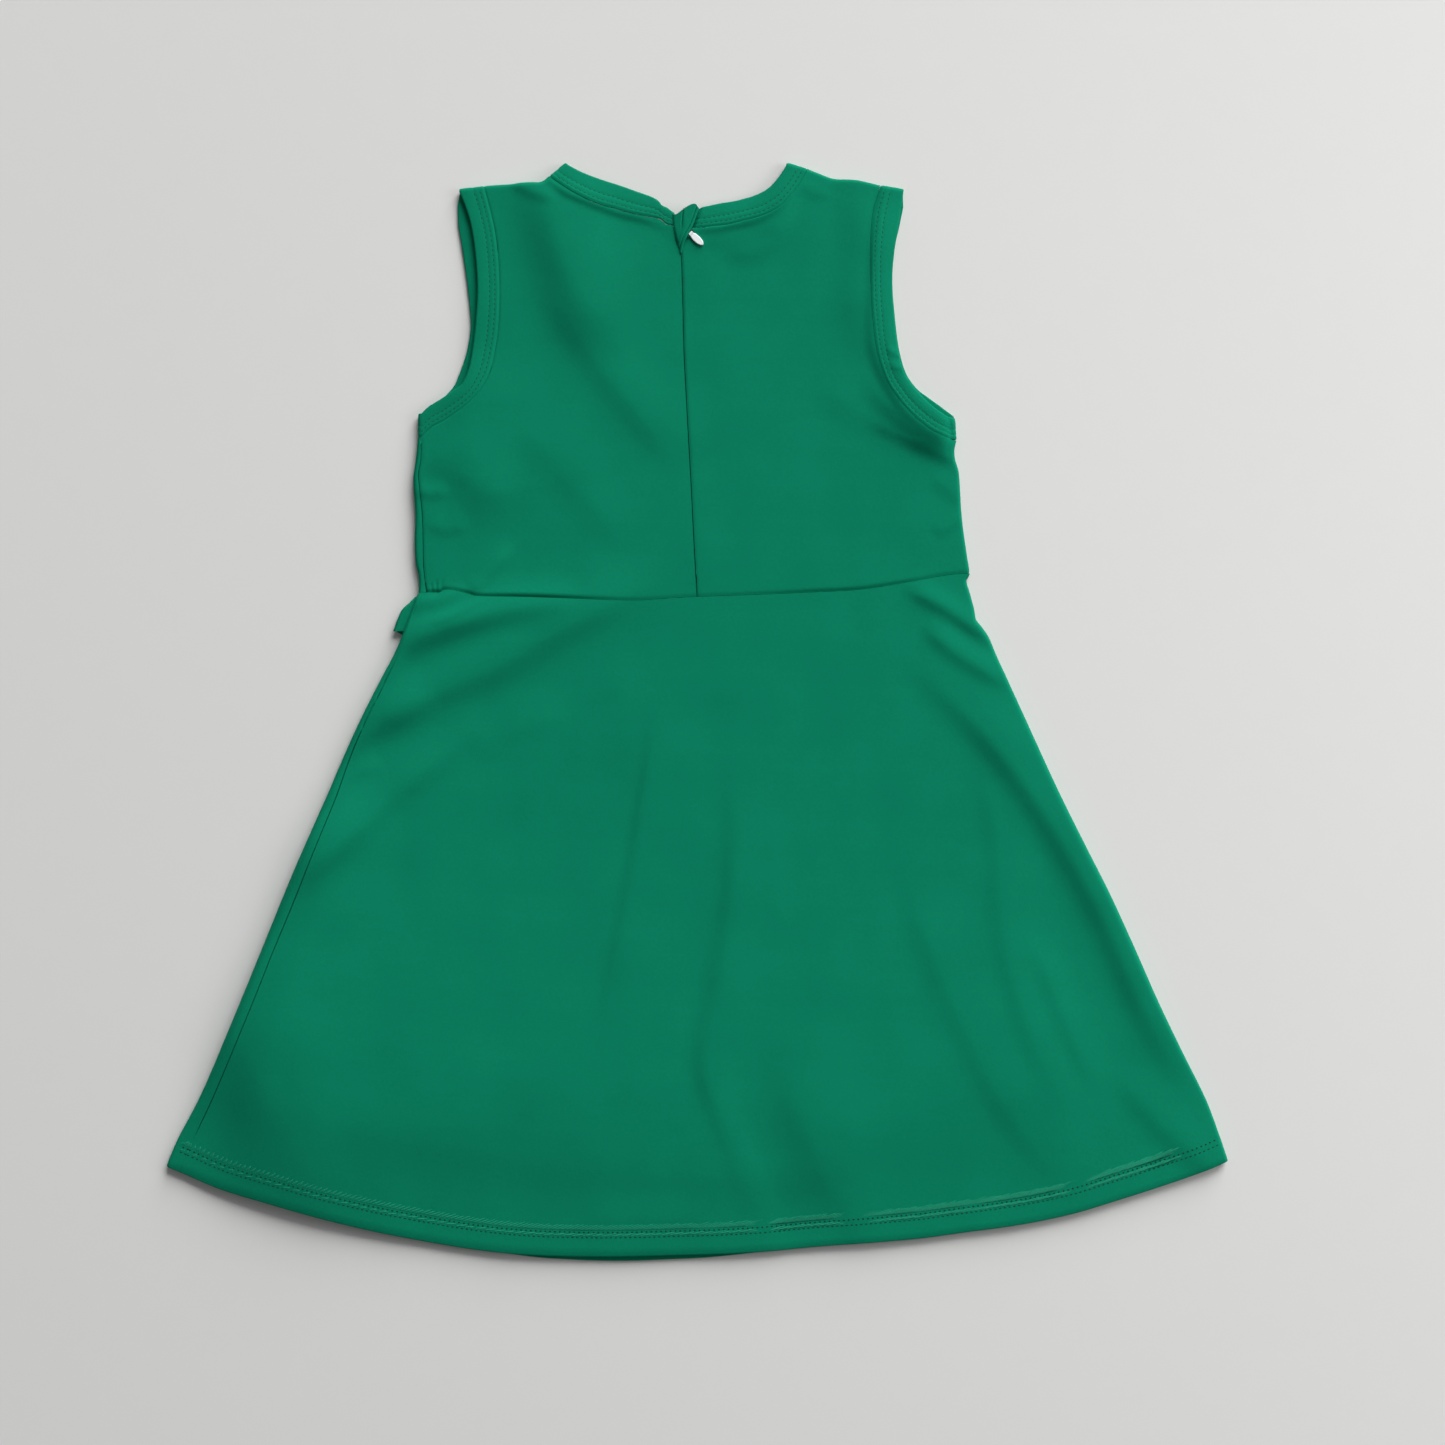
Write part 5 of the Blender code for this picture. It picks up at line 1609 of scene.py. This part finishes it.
@dataclass(frozen=True)
class Skirt:
    """The flared skirt: a back and a front, each hemmed and sewn to the bodice at the waist.

    Attributes:
        side_closed: The side seam's gap where it is held shut.
        side_opening: How much wider it gets between.
        opens_above_hem: The length over which it opens above the hem, and how many such lengths
            up it starts.
        opens_below_waist: The same from the waist down.
    """

    seam_sink: float = 0.4
    seam_width: float = 0.9
    side_closed: float = 0.06
    side_opening: float = 0.42
    opens_above_hem: tuple[float, float] = (8.0, 2.1)
    opens_below_waist: tuple[float, float] = (40.0, 0.4)
    hem_row_low: float = 10.0
    hem_row_high: float = 13.0
    loop_top: float = 17.6
    dots: StitchRun = StitchRun(pitch=2.65, filled=0.46, width=1.0, height=0.34)
    dashes: StitchRun = StitchRun(pitch=2.65, filled=0.62, width=0.7, height=0.30)
    loops: StitchRun = StitchRun(pitch=1.32, filled=0.9, width=0.5, height=0.24)
    crossing: StitchRun = StitchRun(pitch=2.65, filled=0.9, width=0.6, height=0.24)

    def build(self, finishes: Finishes) -> None:
        """Make both panels and the sewing of their hems.

        Args:
            finishes: The dress's finishes.
        """
        for name, lay, node, rests_on in (
            ("skirt_back", self.back_lay(), "back_skirt", ("front_skirt",)),
            ("skirt_front", self.front_lay(), "front_skirt", ()),
        ):
            piece = weld_grids(name, [hemmed(lay)], SIZE.wall, finishes.knit)
            declare_sheet(piece, node, (0.600, 0.395))
            self.hem_sewing(name, lay, finishes)

    def back_lay(self) -> Lay:
        """Lay the back, which rolls under the right side.

        Returns:
            How it lies, from the hem up.
        """
        side = resample(SKIRT_LEFT, STEPS.skirt_up, STEPS.up_crowding)
        left = side[::-1, 2:0:-1].copy()
        left[0] = HEM_BACK[0]
        right = resample(SKIRT_RIGHT, STEPS.skirt_up, STEPS.up_crowding)
        right = side_fold(right, RIGHT_OUT)[::-1]
        right[0] = HEM_BACK[-1]
        half = STEPS.skirt_across
        waist = joined(resample(WAIST_BACK_LEFT, half), resample(WAIST_BACK_RIGHT, half))
        upper = Lay.flat(patch(resample(HEM_BACK, 2 * half), waist, left, right), Turn.UPPER)
        edge = upper.part(slice(None, None, -1), -1)
        ways = side_ways(edge.place, RIGHT_OUT, (0,))
        under = rolled(edge, ways, edge.place - ways * SIZE.under_turn, Turn.UPPER)
        under.sink(Side.RIGHT, self.seam_sink, self.seam_width)
        return upper.beside(under.part(slice(None, None, -1)))

    def front_lay(self) -> Lay:
        """Lay the front, which rolls up round the left side to its seam.

        Returns:
            How it lies, from the hem up.
        """
        side = resample(SKIRT_LEFT, STEPS.front_skirt_up)
        fold = side_fold(side, LEFT_OUT)[::-1]
        fold[0] = HEM_FRONT[0]
        right_fold = side_fold(resample(SKIRT_RIGHT, STEPS.front_skirt_up), RIGHT_OUT)
        right_fold[-1] = HEM_BACK[-1]
        ways = side_ways(right_fold, RIGHT_OUT, (0,))
        right = (right_fold - ways * SIZE.under_turn)[::-1]
        half = STEPS.front_skirt_across
        hem = resample((*HEM_FRONT, Spot(*right[0])), 2 * half)
        grid = patch(hem, resample(WAIST_FRONT, 2 * half), fold, right)
        trim(grid, Side.RIGHT, SIZE.seam_gap)
        lower = Lay.flat(grid, Turn.LOWER)
        edge = lower.part(slice(None, None, -1), 0)
        far = np.column_stack([side[:, 2] - self.side_gap(edge.place), edge.place[:, 1]])
        far[-1, 1] = HEM_BACK[0].y
        strip = rolled(edge, side_ways(edge.place, LEFT_OUT, (0,)), far, Turn.LOWER)
        return strip.part(slice(None, None, -1), slice(None, None, -1)).beside(lower)

    def side_gap(self, edge: np.ndarray) -> np.ndarray:
        """Return how far the side seam is open; it closes at the hem's sewing and at the waist.

        Args:
            edge: The places along the side.

        Returns:
            The gap at each place.
        """
        shown = 1.0
        for away, (length, closed) in ((edge[:, 1] - edge[:, 1].min(), self.opens_above_hem),
                                       (edge[:, 1].max() - edge[:, 1], self.opens_below_waist)):
            shown = shown * np.clip(away / length - closed, 0, 1)
        return self.side_closed + self.side_opening * shown

    def hem_sewing(self, name: str, lay: Lay, finishes: Finishes) -> None:
        """Sew the hem: two rows of stitches darkened with painted shade of their needle holes, and
        light loops above the upper one.

        Args:
            name: The panel's name.
            lay: How the panel lies.
            finishes: The dress's finishes.
        """
        outside = SIZE.wall / 2
        low, normals = row_on(lay, self.hem_row_low, outside)
        high = row_on(lay, self.hem_row_high, outside)[0]
        top = row_on(lay, self.loop_top, outside)[0]
        # The two rows' very dark thread is painted shade of their needle holes
        sew(f"{name}_hem_stitches",
            self.dots.straight(high, normals) + self.dashes.straight(low, normals),
            finishes.hem_stitch_painted_shade)
        sew(f"{name}_hem_loops",
            self.loops.zigzag(high, top, normals, reach=0.86, start_at=0.16)
            + self.crossing.zigzag(low, high, normals, reach=0.70, start_at=0.22),
            finishes.hem_thread)


@dataclass(frozen=True)
class Band:
    """A strip folded double round an opening, with twin rows of stitches near its sewn edge.

    Attributes:
        name: The piece's name.
        node: Its solid.
        cut: Its visible width and length, in metres.
        rows: How far its rows of stitches lie from the sewn edge.
        edge: How the sewn edge goes down.
        crown: How the free half swells, as a dent below zero.
    """

    name: str
    node: str
    cut: tuple[float, float]
    rows: tuple[float, float] = (2.5, 5.5)
    groove: float = 0.11
    groove_width: float = 0.5
    edge: Groove = Groove(0.36, 0.0, 0.7)
    crown: Groove = Groove(-0.12, 9.2, 2.4)
    stitches: StitchRun = StitchRun(pitch=2.7, filled=0.62, width=0.62, height=0.26)

    def profile(self) -> np.ndarray:
        """Return the section: how far across, as a share, a fixed distance, and the rise.

        Returns:
            A row for each point, from the sewn edge over the fold and back under it.
        """
        dents = (self.edge, self.crown, *(Groove(self.groove, row, self.groove_width)
                                          for row in self.rows))
        section = []
        for across in BAND_OUTER:
            rise = SIZE.band_half
            for dent in dents:
                rise -= dent.along(across)
            section.append((across / BAND_SECTION, 0.0, rise))
        for angle in np.linspace(pi / 8, 7 * pi / 8, 5):
            section.append((1.0, -SIZE.band_half * (1 - np.sin(angle)), SIZE.band_half * np.cos(angle)))
        for across in BAND_INNER:
            section.append((across / BAND_SECTION, 0.0, -SIZE.band_half))
        return np.array(section)

    def lay(self, stations: np.ndarray, ways: np.ndarray, turns: np.ndarray) -> Lay:
        """Lay the band's section at every station.

        Args:
            stations: Sewn edge and free edge of each station.
            ways: The direction in which each rolls.
            turns: How far each has rolled.

        Returns:
            A lay with a row for each station.
        """
        share, extra, rise = self.profile().T
        seam, free = stations[:, :2], stations[:, 2:]
        width = np.linalg.norm(free - seam, axis=1) - BAND_SHORT
        reach = share[None] * width[:, None] + extra[None]
        place = seam[:, None] + unit(free - seam)[:, None] * reach[..., None]
        girth = travelled(np.column_stack([share * BAND_SECTION, rise]))
        run = travelled((seam + free) / 2)
        grain = np.stack(np.broadcast_arrays(girth[None], run[:, None]), axis=-1)
        count = len(share)
        return Lay(place, columns_of(ways, count), columns_of(turns, count),
                   np.repeat(rise[None], len(seam), axis=0), SIZE.band_front_middle, grain)

    def make(self, lay: Lay, closed: bool, finishes: Finishes) -> None:
        """Make the band and its two rows of stitches.

        Args:
            lay: How the band lies.
            closed: Whether its last row meets its first.
            finishes: The dress's finishes.
        """
        piece = weld_grids(self.name, [lay], SIZE.band_wall, finishes.band, closed)
        declare_sheet(piece, self.node, self.cut, digits=6)
        stitches = []
        for row in self.rows:
            line = lay.part(slice(None), BAND_OUTER.index(row))
            line.rise = line.rise + SIZE.band_wall / 2
            stitches += self.stitches.straight(line.points(), line.normals())
        # The thread's dark colour is painted shade of the stitches' grooves
        sew(f"{self.name}_stitches", stitches, finishes.band_thread_painted_shade)


def rolled_stations(row: np.ndarray, way: Sequence, downwards: bool) -> tuple[np.ndarray, ...]:
    """Repeat a station while it rolls from one layer to the other.

    Args:
        row: The station at the fold.
        way: The direction in which it rolls.
        downwards: Whether it rolls from the upper layer to the lower one.

    Returns:
        The stations, their ways and their turns.
    """
    turns = np.linspace(0.0, pi, STEPS.roll + 1)[1:]
    ways = np.tile(np.array(way, dtype=float), (len(turns), 1))
    return np.repeat(row[None], len(turns), axis=0), ways, turns if downwards else turns[::-1]


def laid_stations(rows: np.ndarray, turn: Turn) -> tuple[np.ndarray, ...]:
    """Return stations that lie flat on one layer, with their ways and turns."""
    return rows, np.zeros((len(rows), 2)), np.full(len(rows), float(turn))


def chained(*stretches: tuple[np.ndarray, ...]) -> tuple[np.ndarray, ...]:
    """Put stretches of stations end to end."""
    return tuple(np.concatenate(parts) for parts in zip(*stretches))


@dataclass(frozen=True)
class Bindings:
    """The three bands: round the neck and round each armhole.

    Attributes:
        flap_press: How far the neck band is pressed down under the zip's turned-out end.
        flap_reach: How wide its slope beside that end is.
    """

    neck: Band = Band("neck_binding", "neck_band", (0.025, 0.370))
    left: Band = Band("left_armhole_binding", "armhole_band_left", (0.025, 0.320))
    right: Band = Band("right_armhole_binding", "armhole_band_right", (0.025, 0.320))
    flap_press: float = 2.6
    flap_reach: float = 1.3

    def build(self, finishes: Finishes) -> None:
        """Make the three bands.

        Args:
            finishes: The dress's finishes.
        """
        self.neck.make(self.neck_lay(), False, finishes)
        for band, back, front, shoulder, underarm in (
            (self.left, ARMHOLE_LEFT_BACK, ARMHOLE_LEFT_FRONT, LEFT_SHOULDER_OUT[0], LEFT_OUT),
            (self.right, ARMHOLE_RIGHT_BACK, ARMHOLE_RIGHT_FRONT[::-1], RIGHT_SHOULDER_OUT[1],
             RIGHT_OUT),
        ):
            band.make(self.armhole_lay(band, back, front, shoulder, underarm), True, finishes)

    def neck_lay(self) -> Lay:
        """Lay the neck band, open at the zip and rolled over at both shoulders.

        Returns:
            How it lies.
        """
        left = resample(NECK_BACK_LEFT, STEPS.band_half)
        right = resample(NECK_BACK_RIGHT, STEPS.band_half)
        lay = self.neck.lay(*chained(
            laid_stations(left, Turn.UPPER),
            rolled_stations(left[-1], LEFT_SHOULDER_OUT[1], True),
            laid_stations(resample(NECK_FRONT, STEPS.band), Turn.LOWER),
            rolled_stations(right[-1], RIGHT_SHOULDER_OUT[0], False),
            laid_stations(right[::-1], Turn.UPPER),
        ))
        lay.rise[-len(right):] -= self.under_flap(lay.place[-len(right):])
        return lay

    def under_flap(self, place: np.ndarray) -> np.ndarray:
        """Return how far the band is pressed down under the zip's turned-out end.

        Args:
            place: Places on the band.

        Returns:
            The distances, in the places' own order.
        """
        low, high = np.array(FLAP_RIGHT[-2]), np.array(FLAP_RIGHT[-1])
        along = (high - low) / np.linalg.norm(high - low)
        gap = place - low
        beyond = gap[..., 0] * along[1] - gap[..., 1] * along[0]
        return self.flap_press * ramp(self.flap_reach - beyond, self.flap_reach)

    def armhole_lay(self, band: Band, back: Sequence[BandRow], front: Sequence[BandRow],
                    shoulder: Sequence, underarm: Sequence) -> Lay:
        """Lay a closed band, rolled over at the shoulder and the underarm.

        Args:
            band: Which band.
            back: Its stations on the upper layer, from the underarm up.
            front: Its stations on the lower layer, from the shoulder down.
            shoulder: The direction in which it rolls at the shoulder.
            underarm: The direction in which it rolls at the underarm.

        Returns:
            How it lies.
        """
        over = resample(back, STEPS.band)
        lay = band.lay(*chained(
            laid_stations(over, Turn.UPPER),
            rolled_stations(over[-1], shoulder, True),
            laid_stations(resample(front, STEPS.band), Turn.LOWER),
            rolled_stations(over[0], underarm, False),
            laid_stations(over[:1], Turn.UPPER),
        ))
        lay.grain[-1] = lay.grain[-2] * 2 - lay.grain[-3]
        return lay


@dataclass(frozen=True)
class ZipFastening:
    """The concealed zip: tapes and teeth under the slit, slider, pull and the turned-out end.

    Attributes:
        flap_slope: How steeply the turned-out end rises from its left edge, as shares of its
            width and in millimetres.
        sewn_groove: The sewn line near the fold of the turned-out end.
        fold_edge: How its fold goes down.
        left_edge: How its left edge goes down.
        pleat: The small pleat in its upper part, measured from a share of its width.
    """

    tape_inner: float = 0.15
    tape_width: float = 9.0
    tape_wall: float = 0.7
    tape_drop: float = 1.3
    tape_columns: int = 8
    tooth_drop: float = 0.62
    tooth_back: float = 0.3
    tooth_reach: float = 1.7
    teeth: StitchRun = StitchRun(pitch=1.15, filled=1.0, width=0.62, height=0.42)
    flap_wall: float = 0.8
    flap_edge: float = 5.0
    flap_rise: float = 1.1
    flap_rise_width: float = 6.0
    flap_rise_min: float = 0.3
    flap_slope: tuple[float, float] = (0.68, 6.6)
    sewn_groove: Groove = Groove(0.80, 1.7, 0.42)
    fold_edge: Groove = Groove(0.22, 0.0, 0.3)
    left_edge: Groove = Groove(0.4, 0.0, 0.5)
    tip_drop: float = 0.7
    tip_top: float = 259.0
    tip_length: float = 7.0
    pleat: Groove = Groove(0.60, 0.0, 0.45)
    pleat_at: float = 0.42
    pleat_low: float = 264.5
    pleat_length: float = 4.0
    flap_rows: int = 40
    flap_columns: int = 48

    def build(self, finishes: Finishes) -> None:
        """Make every part of the zip.

        Args:
            finishes: The dress's finishes.
        """
        line = resample(CENTRE_BACK, STEPS.centre)
        for name, node, side in (("left_zip_tape", "zip_tape_left", -1.0),
                                 ("right_zip_tape", "zip_tape_right", 1.0)):
            piece = weld_grids(name, [self.tape_lay(line, side)], self.tape_wall, finishes.tape)
            declare_sheet(piece, node, (0.010, 0.191), 0.0017)
        self.sew_teeth(line, finishes)
        piece = weld_grids("zip_end_flap", [self.flap_lay()], self.flap_wall, finishes.band)
        declare_sheet(piece, "zip_flap", (0.014, 0.027), 0.00021)
        for node, finish in (("zip_slider", finishes.slider), ("zip_pull", finishes.pull)):
            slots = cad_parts[node].data.materials
            slots.clear()
            slots.append(finish)
            LOG.info("%s: finished", node)

    def tape_lay(self, line: np.ndarray, side: float) -> Lay:
        """Lay one tape under the edge of its half of the back.

        Args:
            line: The slit's places.
            side: -1 for the left tape and 1 for the right one.

        Returns:
            How it lies.
        """
        shares = np.linspace(0.0, 1.0, self.tape_columns + 1)
        offsets = side * (self.tape_inner + shares * (self.tape_width - self.tape_inner))
        place = line[:, None] + np.stack([offsets, np.zeros_like(offsets)], axis=-1)[None]
        return Lay.flat(place, Turn.UPPER, -self.tape_drop)

    def sew_teeth(self, line: np.ndarray, finishes: Finishes) -> None:
        """Make the coil's teeth, which reach across the slit from either side in turn.

        Args:
            line: The slit's places.
            finishes: The dress's finishes.
        """
        points = Lay.flat(line[:, None], Turn.UPPER, -self.tooth_drop).points()[:, 0]
        places, ways = self.teeth.spaced(points, np.tile((0.0, 0.0, 1.0), (len(points), 1)))
        teeth = []
        for index, (place, up) in enumerate(zip(places, ways)):
            side = 1.0 if index % 2 else -1.0
            teeth.append(self.teeth.stitch(place - np.array([side * self.tooth_back, 0.0, 0.0]),
                                           place + np.array([side * self.tooth_reach, 0.0, 0.0]), up))
        sew("zip_teeth", teeth, finishes.slider)

    def flap_lay(self) -> Lay:
        """Lay the turned-out end: a doubled tip that narrows to the slit, sewn near its fold.

        Returns:
            How it lies.
        """
        left, right = resample(FLAP_LEFT, self.flap_rows), resample(FLAP_RIGHT, self.flap_rows)
        top = resample(FLAP_TOP, self.flap_columns)
        u = np.linspace(0.0, 1.0, self.flap_columns + 1)
        bottom = (1 - u[:, None]) * left[0] + u[:, None] * right[0]
        grid = patch(bottom, top, left, right)
        reach = np.linalg.norm(grid - grid[:, :1], axis=-1)
        inside = np.linalg.norm(grid - grid[:, -1:], axis=-1)
        wide = reach + inside
        swell = self.flap_rise * np.clip(wide / self.flap_rise_width, self.flap_rise_min, 1.0)
        share, most = self.flap_slope
        height = self.flap_edge + swell * ramp(reach, np.minimum(share * wide, most))
        height -= self.sewn_groove.along(inside)
        height -= self.fold_edge.along(inside) + self.left_edge.along(reach)
        height -= self.tip_drop * ramp(self.tip_top - grid[..., 1], self.tip_length)
        pleated = ramp(grid[..., 1] - self.pleat_low, self.pleat_length)
        height -= pleated * self.pleat.along(reach - self.pleat_at * wide)
        lay = Lay.flat(grid, Turn.UPPER)
        lay.rise = height - RELIEF.upper(grid)
        return lay


@dataclass(frozen=True)
class WaistTab:
    """The short strip folded double that shows past the waist seam's left end."""

    wall: float = 0.8
    low: float = 0.5
    high: float = 3.0
    rows: int = 26
    layer_steps: int = 6
    fold_steps: int = 12

    def build(self, finishes: Finishes) -> None:
        """Make the tab, with an open lower end.

        Args:
            finishes: The dress's finishes.
        """
        radius = (self.high - self.low) / 2
        shares = np.linspace(0.0, 1.0, self.layer_steps + 1)
        angles = np.linspace(pi, 0.0, self.fold_steps + 1)
        grids = []
        for outer, y, inner, top_y in resample(TAB_ROWS, self.rows):
            fold = outer + radius + self.low
            lower = [(inner + (fold - inner) * share, y + (top_y - y) * share)
                     for share in shares[:-1]]
            upper = [(fold + (inner - fold) * share, top_y) for share in shares[1:]]
            grids.append(lower + [(fold, top_y)] * len(angles) + upper)
        place = np.array(grids)
        turn = np.tile([pi] * self.layer_steps + list(angles) + [0.0] * self.layer_steps,
                       (len(grids), 1))
        lay = Lay(place, np.tile((-1.0, 0.0), turn.shape + (1,)), turn, np.zeros_like(turn),
                  self.low, place.copy())
        middle = RELIEF.upper(place)
        lay.rise = radius - (middle - self.low) / 2
        lay.rise = np.where(turn < pi / 2, lay.rise - (middle - self.high) / 2, lay.rise)
        piece = weld_grids("waist_seam_tab", [lay], self.wall, finishes.band)
        declare_sheet(piece, "waist_tab", (0.0125, 0.0185), 0.0002)


@dataclass(frozen=True)
class Studio:
    """The floor, the soft light and the camera over the dress, in metres and watts."""

    frame_width: float = 0.79475
    centre: tuple[float, float] = (0.014, -0.0058)
    distance: float = 1.2
    cloth_height: float = 0.003
    sensor: float = 36.0
    clip: tuple[float, float] = (0.05, 20.0)
    key_way: tuple[float, float, float] = (0.40, 0.82, 0.41)
    key_distance: float = 10.0
    key_size: float = 7.0
    key_power: float = 1620.0
    side_way: tuple[float, float, float] = (0.86, 0.12, 0.50)
    side_distance: float = 1.8
    side_size: float = 0.8
    side_power: float = 8.0
    sky: float = 0.15
    floor_half: float = 3.0
    floor_height: float = -0.0002

    def build(self, finishes: Finishes) -> None:
        """Set the stage.

        Args:
            finishes: The dress's finishes.
        """
        self.floor(finishes)
        self.lights()
        self.camera()

    def floor(self, finishes: Finishes) -> None:
        """Make the floor under the dress.

        Args:
            finishes: The dress's finishes.
        """
        mesh = bmesh.new()
        bmesh.ops.create_grid(mesh, x_segments=1, y_segments=1, size=self.floor_half,
                              matrix=Matrix.Translation((0.0, 0.0, self.floor_height)))
        data = bpy.data.meshes.new("floor")
        mesh.to_mesh(data)
        mesh.free()
        data.materials.append(finishes.floor)
        piece = bpy.data.objects.new("floor", data)
        bpy.context.scene.collection.objects.link(piece)

    def lights(self) -> None:
        """Light the dress low from above its neck, a little from the right, with an even sky."""
        self.light("key", self.key_way, self.key_distance, self.key_size, self.key_power)
        self.light("side", self.side_way, self.side_distance, self.side_size, self.side_power)
        world = bpy.data.worlds.new("sky")
        world.use_nodes = True
        background = world.node_tree.nodes["Background"]
        background.inputs["Color"].default_value = (1.0, 1.0, 1.0, 1.0)
        background.inputs["Strength"].default_value = self.sky
        bpy.context.scene.world = world
        bpy.context.scene.view_settings.view_transform = "Standard"

    def light(self, name: str, towards: Sequence[float], distance: float, size: float,
              power: float) -> None:
        """Hang a square soft light that faces the dress.

        Args:
            name: The light's name.
            towards: The way to it from the dress.
            distance: How far off it is.
            size: Its side.
            power: Its power.
        """
        data = bpy.data.lights.new(name, "AREA")
        data.size = size
        data.energy = power
        light = bpy.data.objects.new(name, data)
        way = Vector(towards).normalized()
        light.location = way * distance + Vector((*self.centre, 0.0))
        light.rotation_euler = (-way).to_track_quat("-Z", "Y").to_euler()
        bpy.context.scene.collection.objects.link(light)

    def camera(self) -> None:
        """Look straight down, as the photograph does."""
        data = bpy.data.cameras.new("camera")
        data.sensor_width = self.sensor
        data.lens = self.sensor * self.distance / self.frame_width
        data.clip_start, data.clip_end = self.clip
        camera = bpy.data.objects.new("camera", data)
        camera.location = (*self.centre, self.distance + self.cloth_height)
        bpy.context.scene.collection.objects.link(camera)
        bpy.context.scene.camera = camera


def main() -> None:
    """Build the scene piece by piece."""
    logging.basicConfig(level=logging.INFO, format="%(name)s: %(message)s")
    finishes = Finishes.build()
    for part in (Studio(), Bodice(), Skirt(), Bindings(), ZipFastening(), WaistTab()):
        part.build(finishes)


if __name__ == "__main__":
    main()
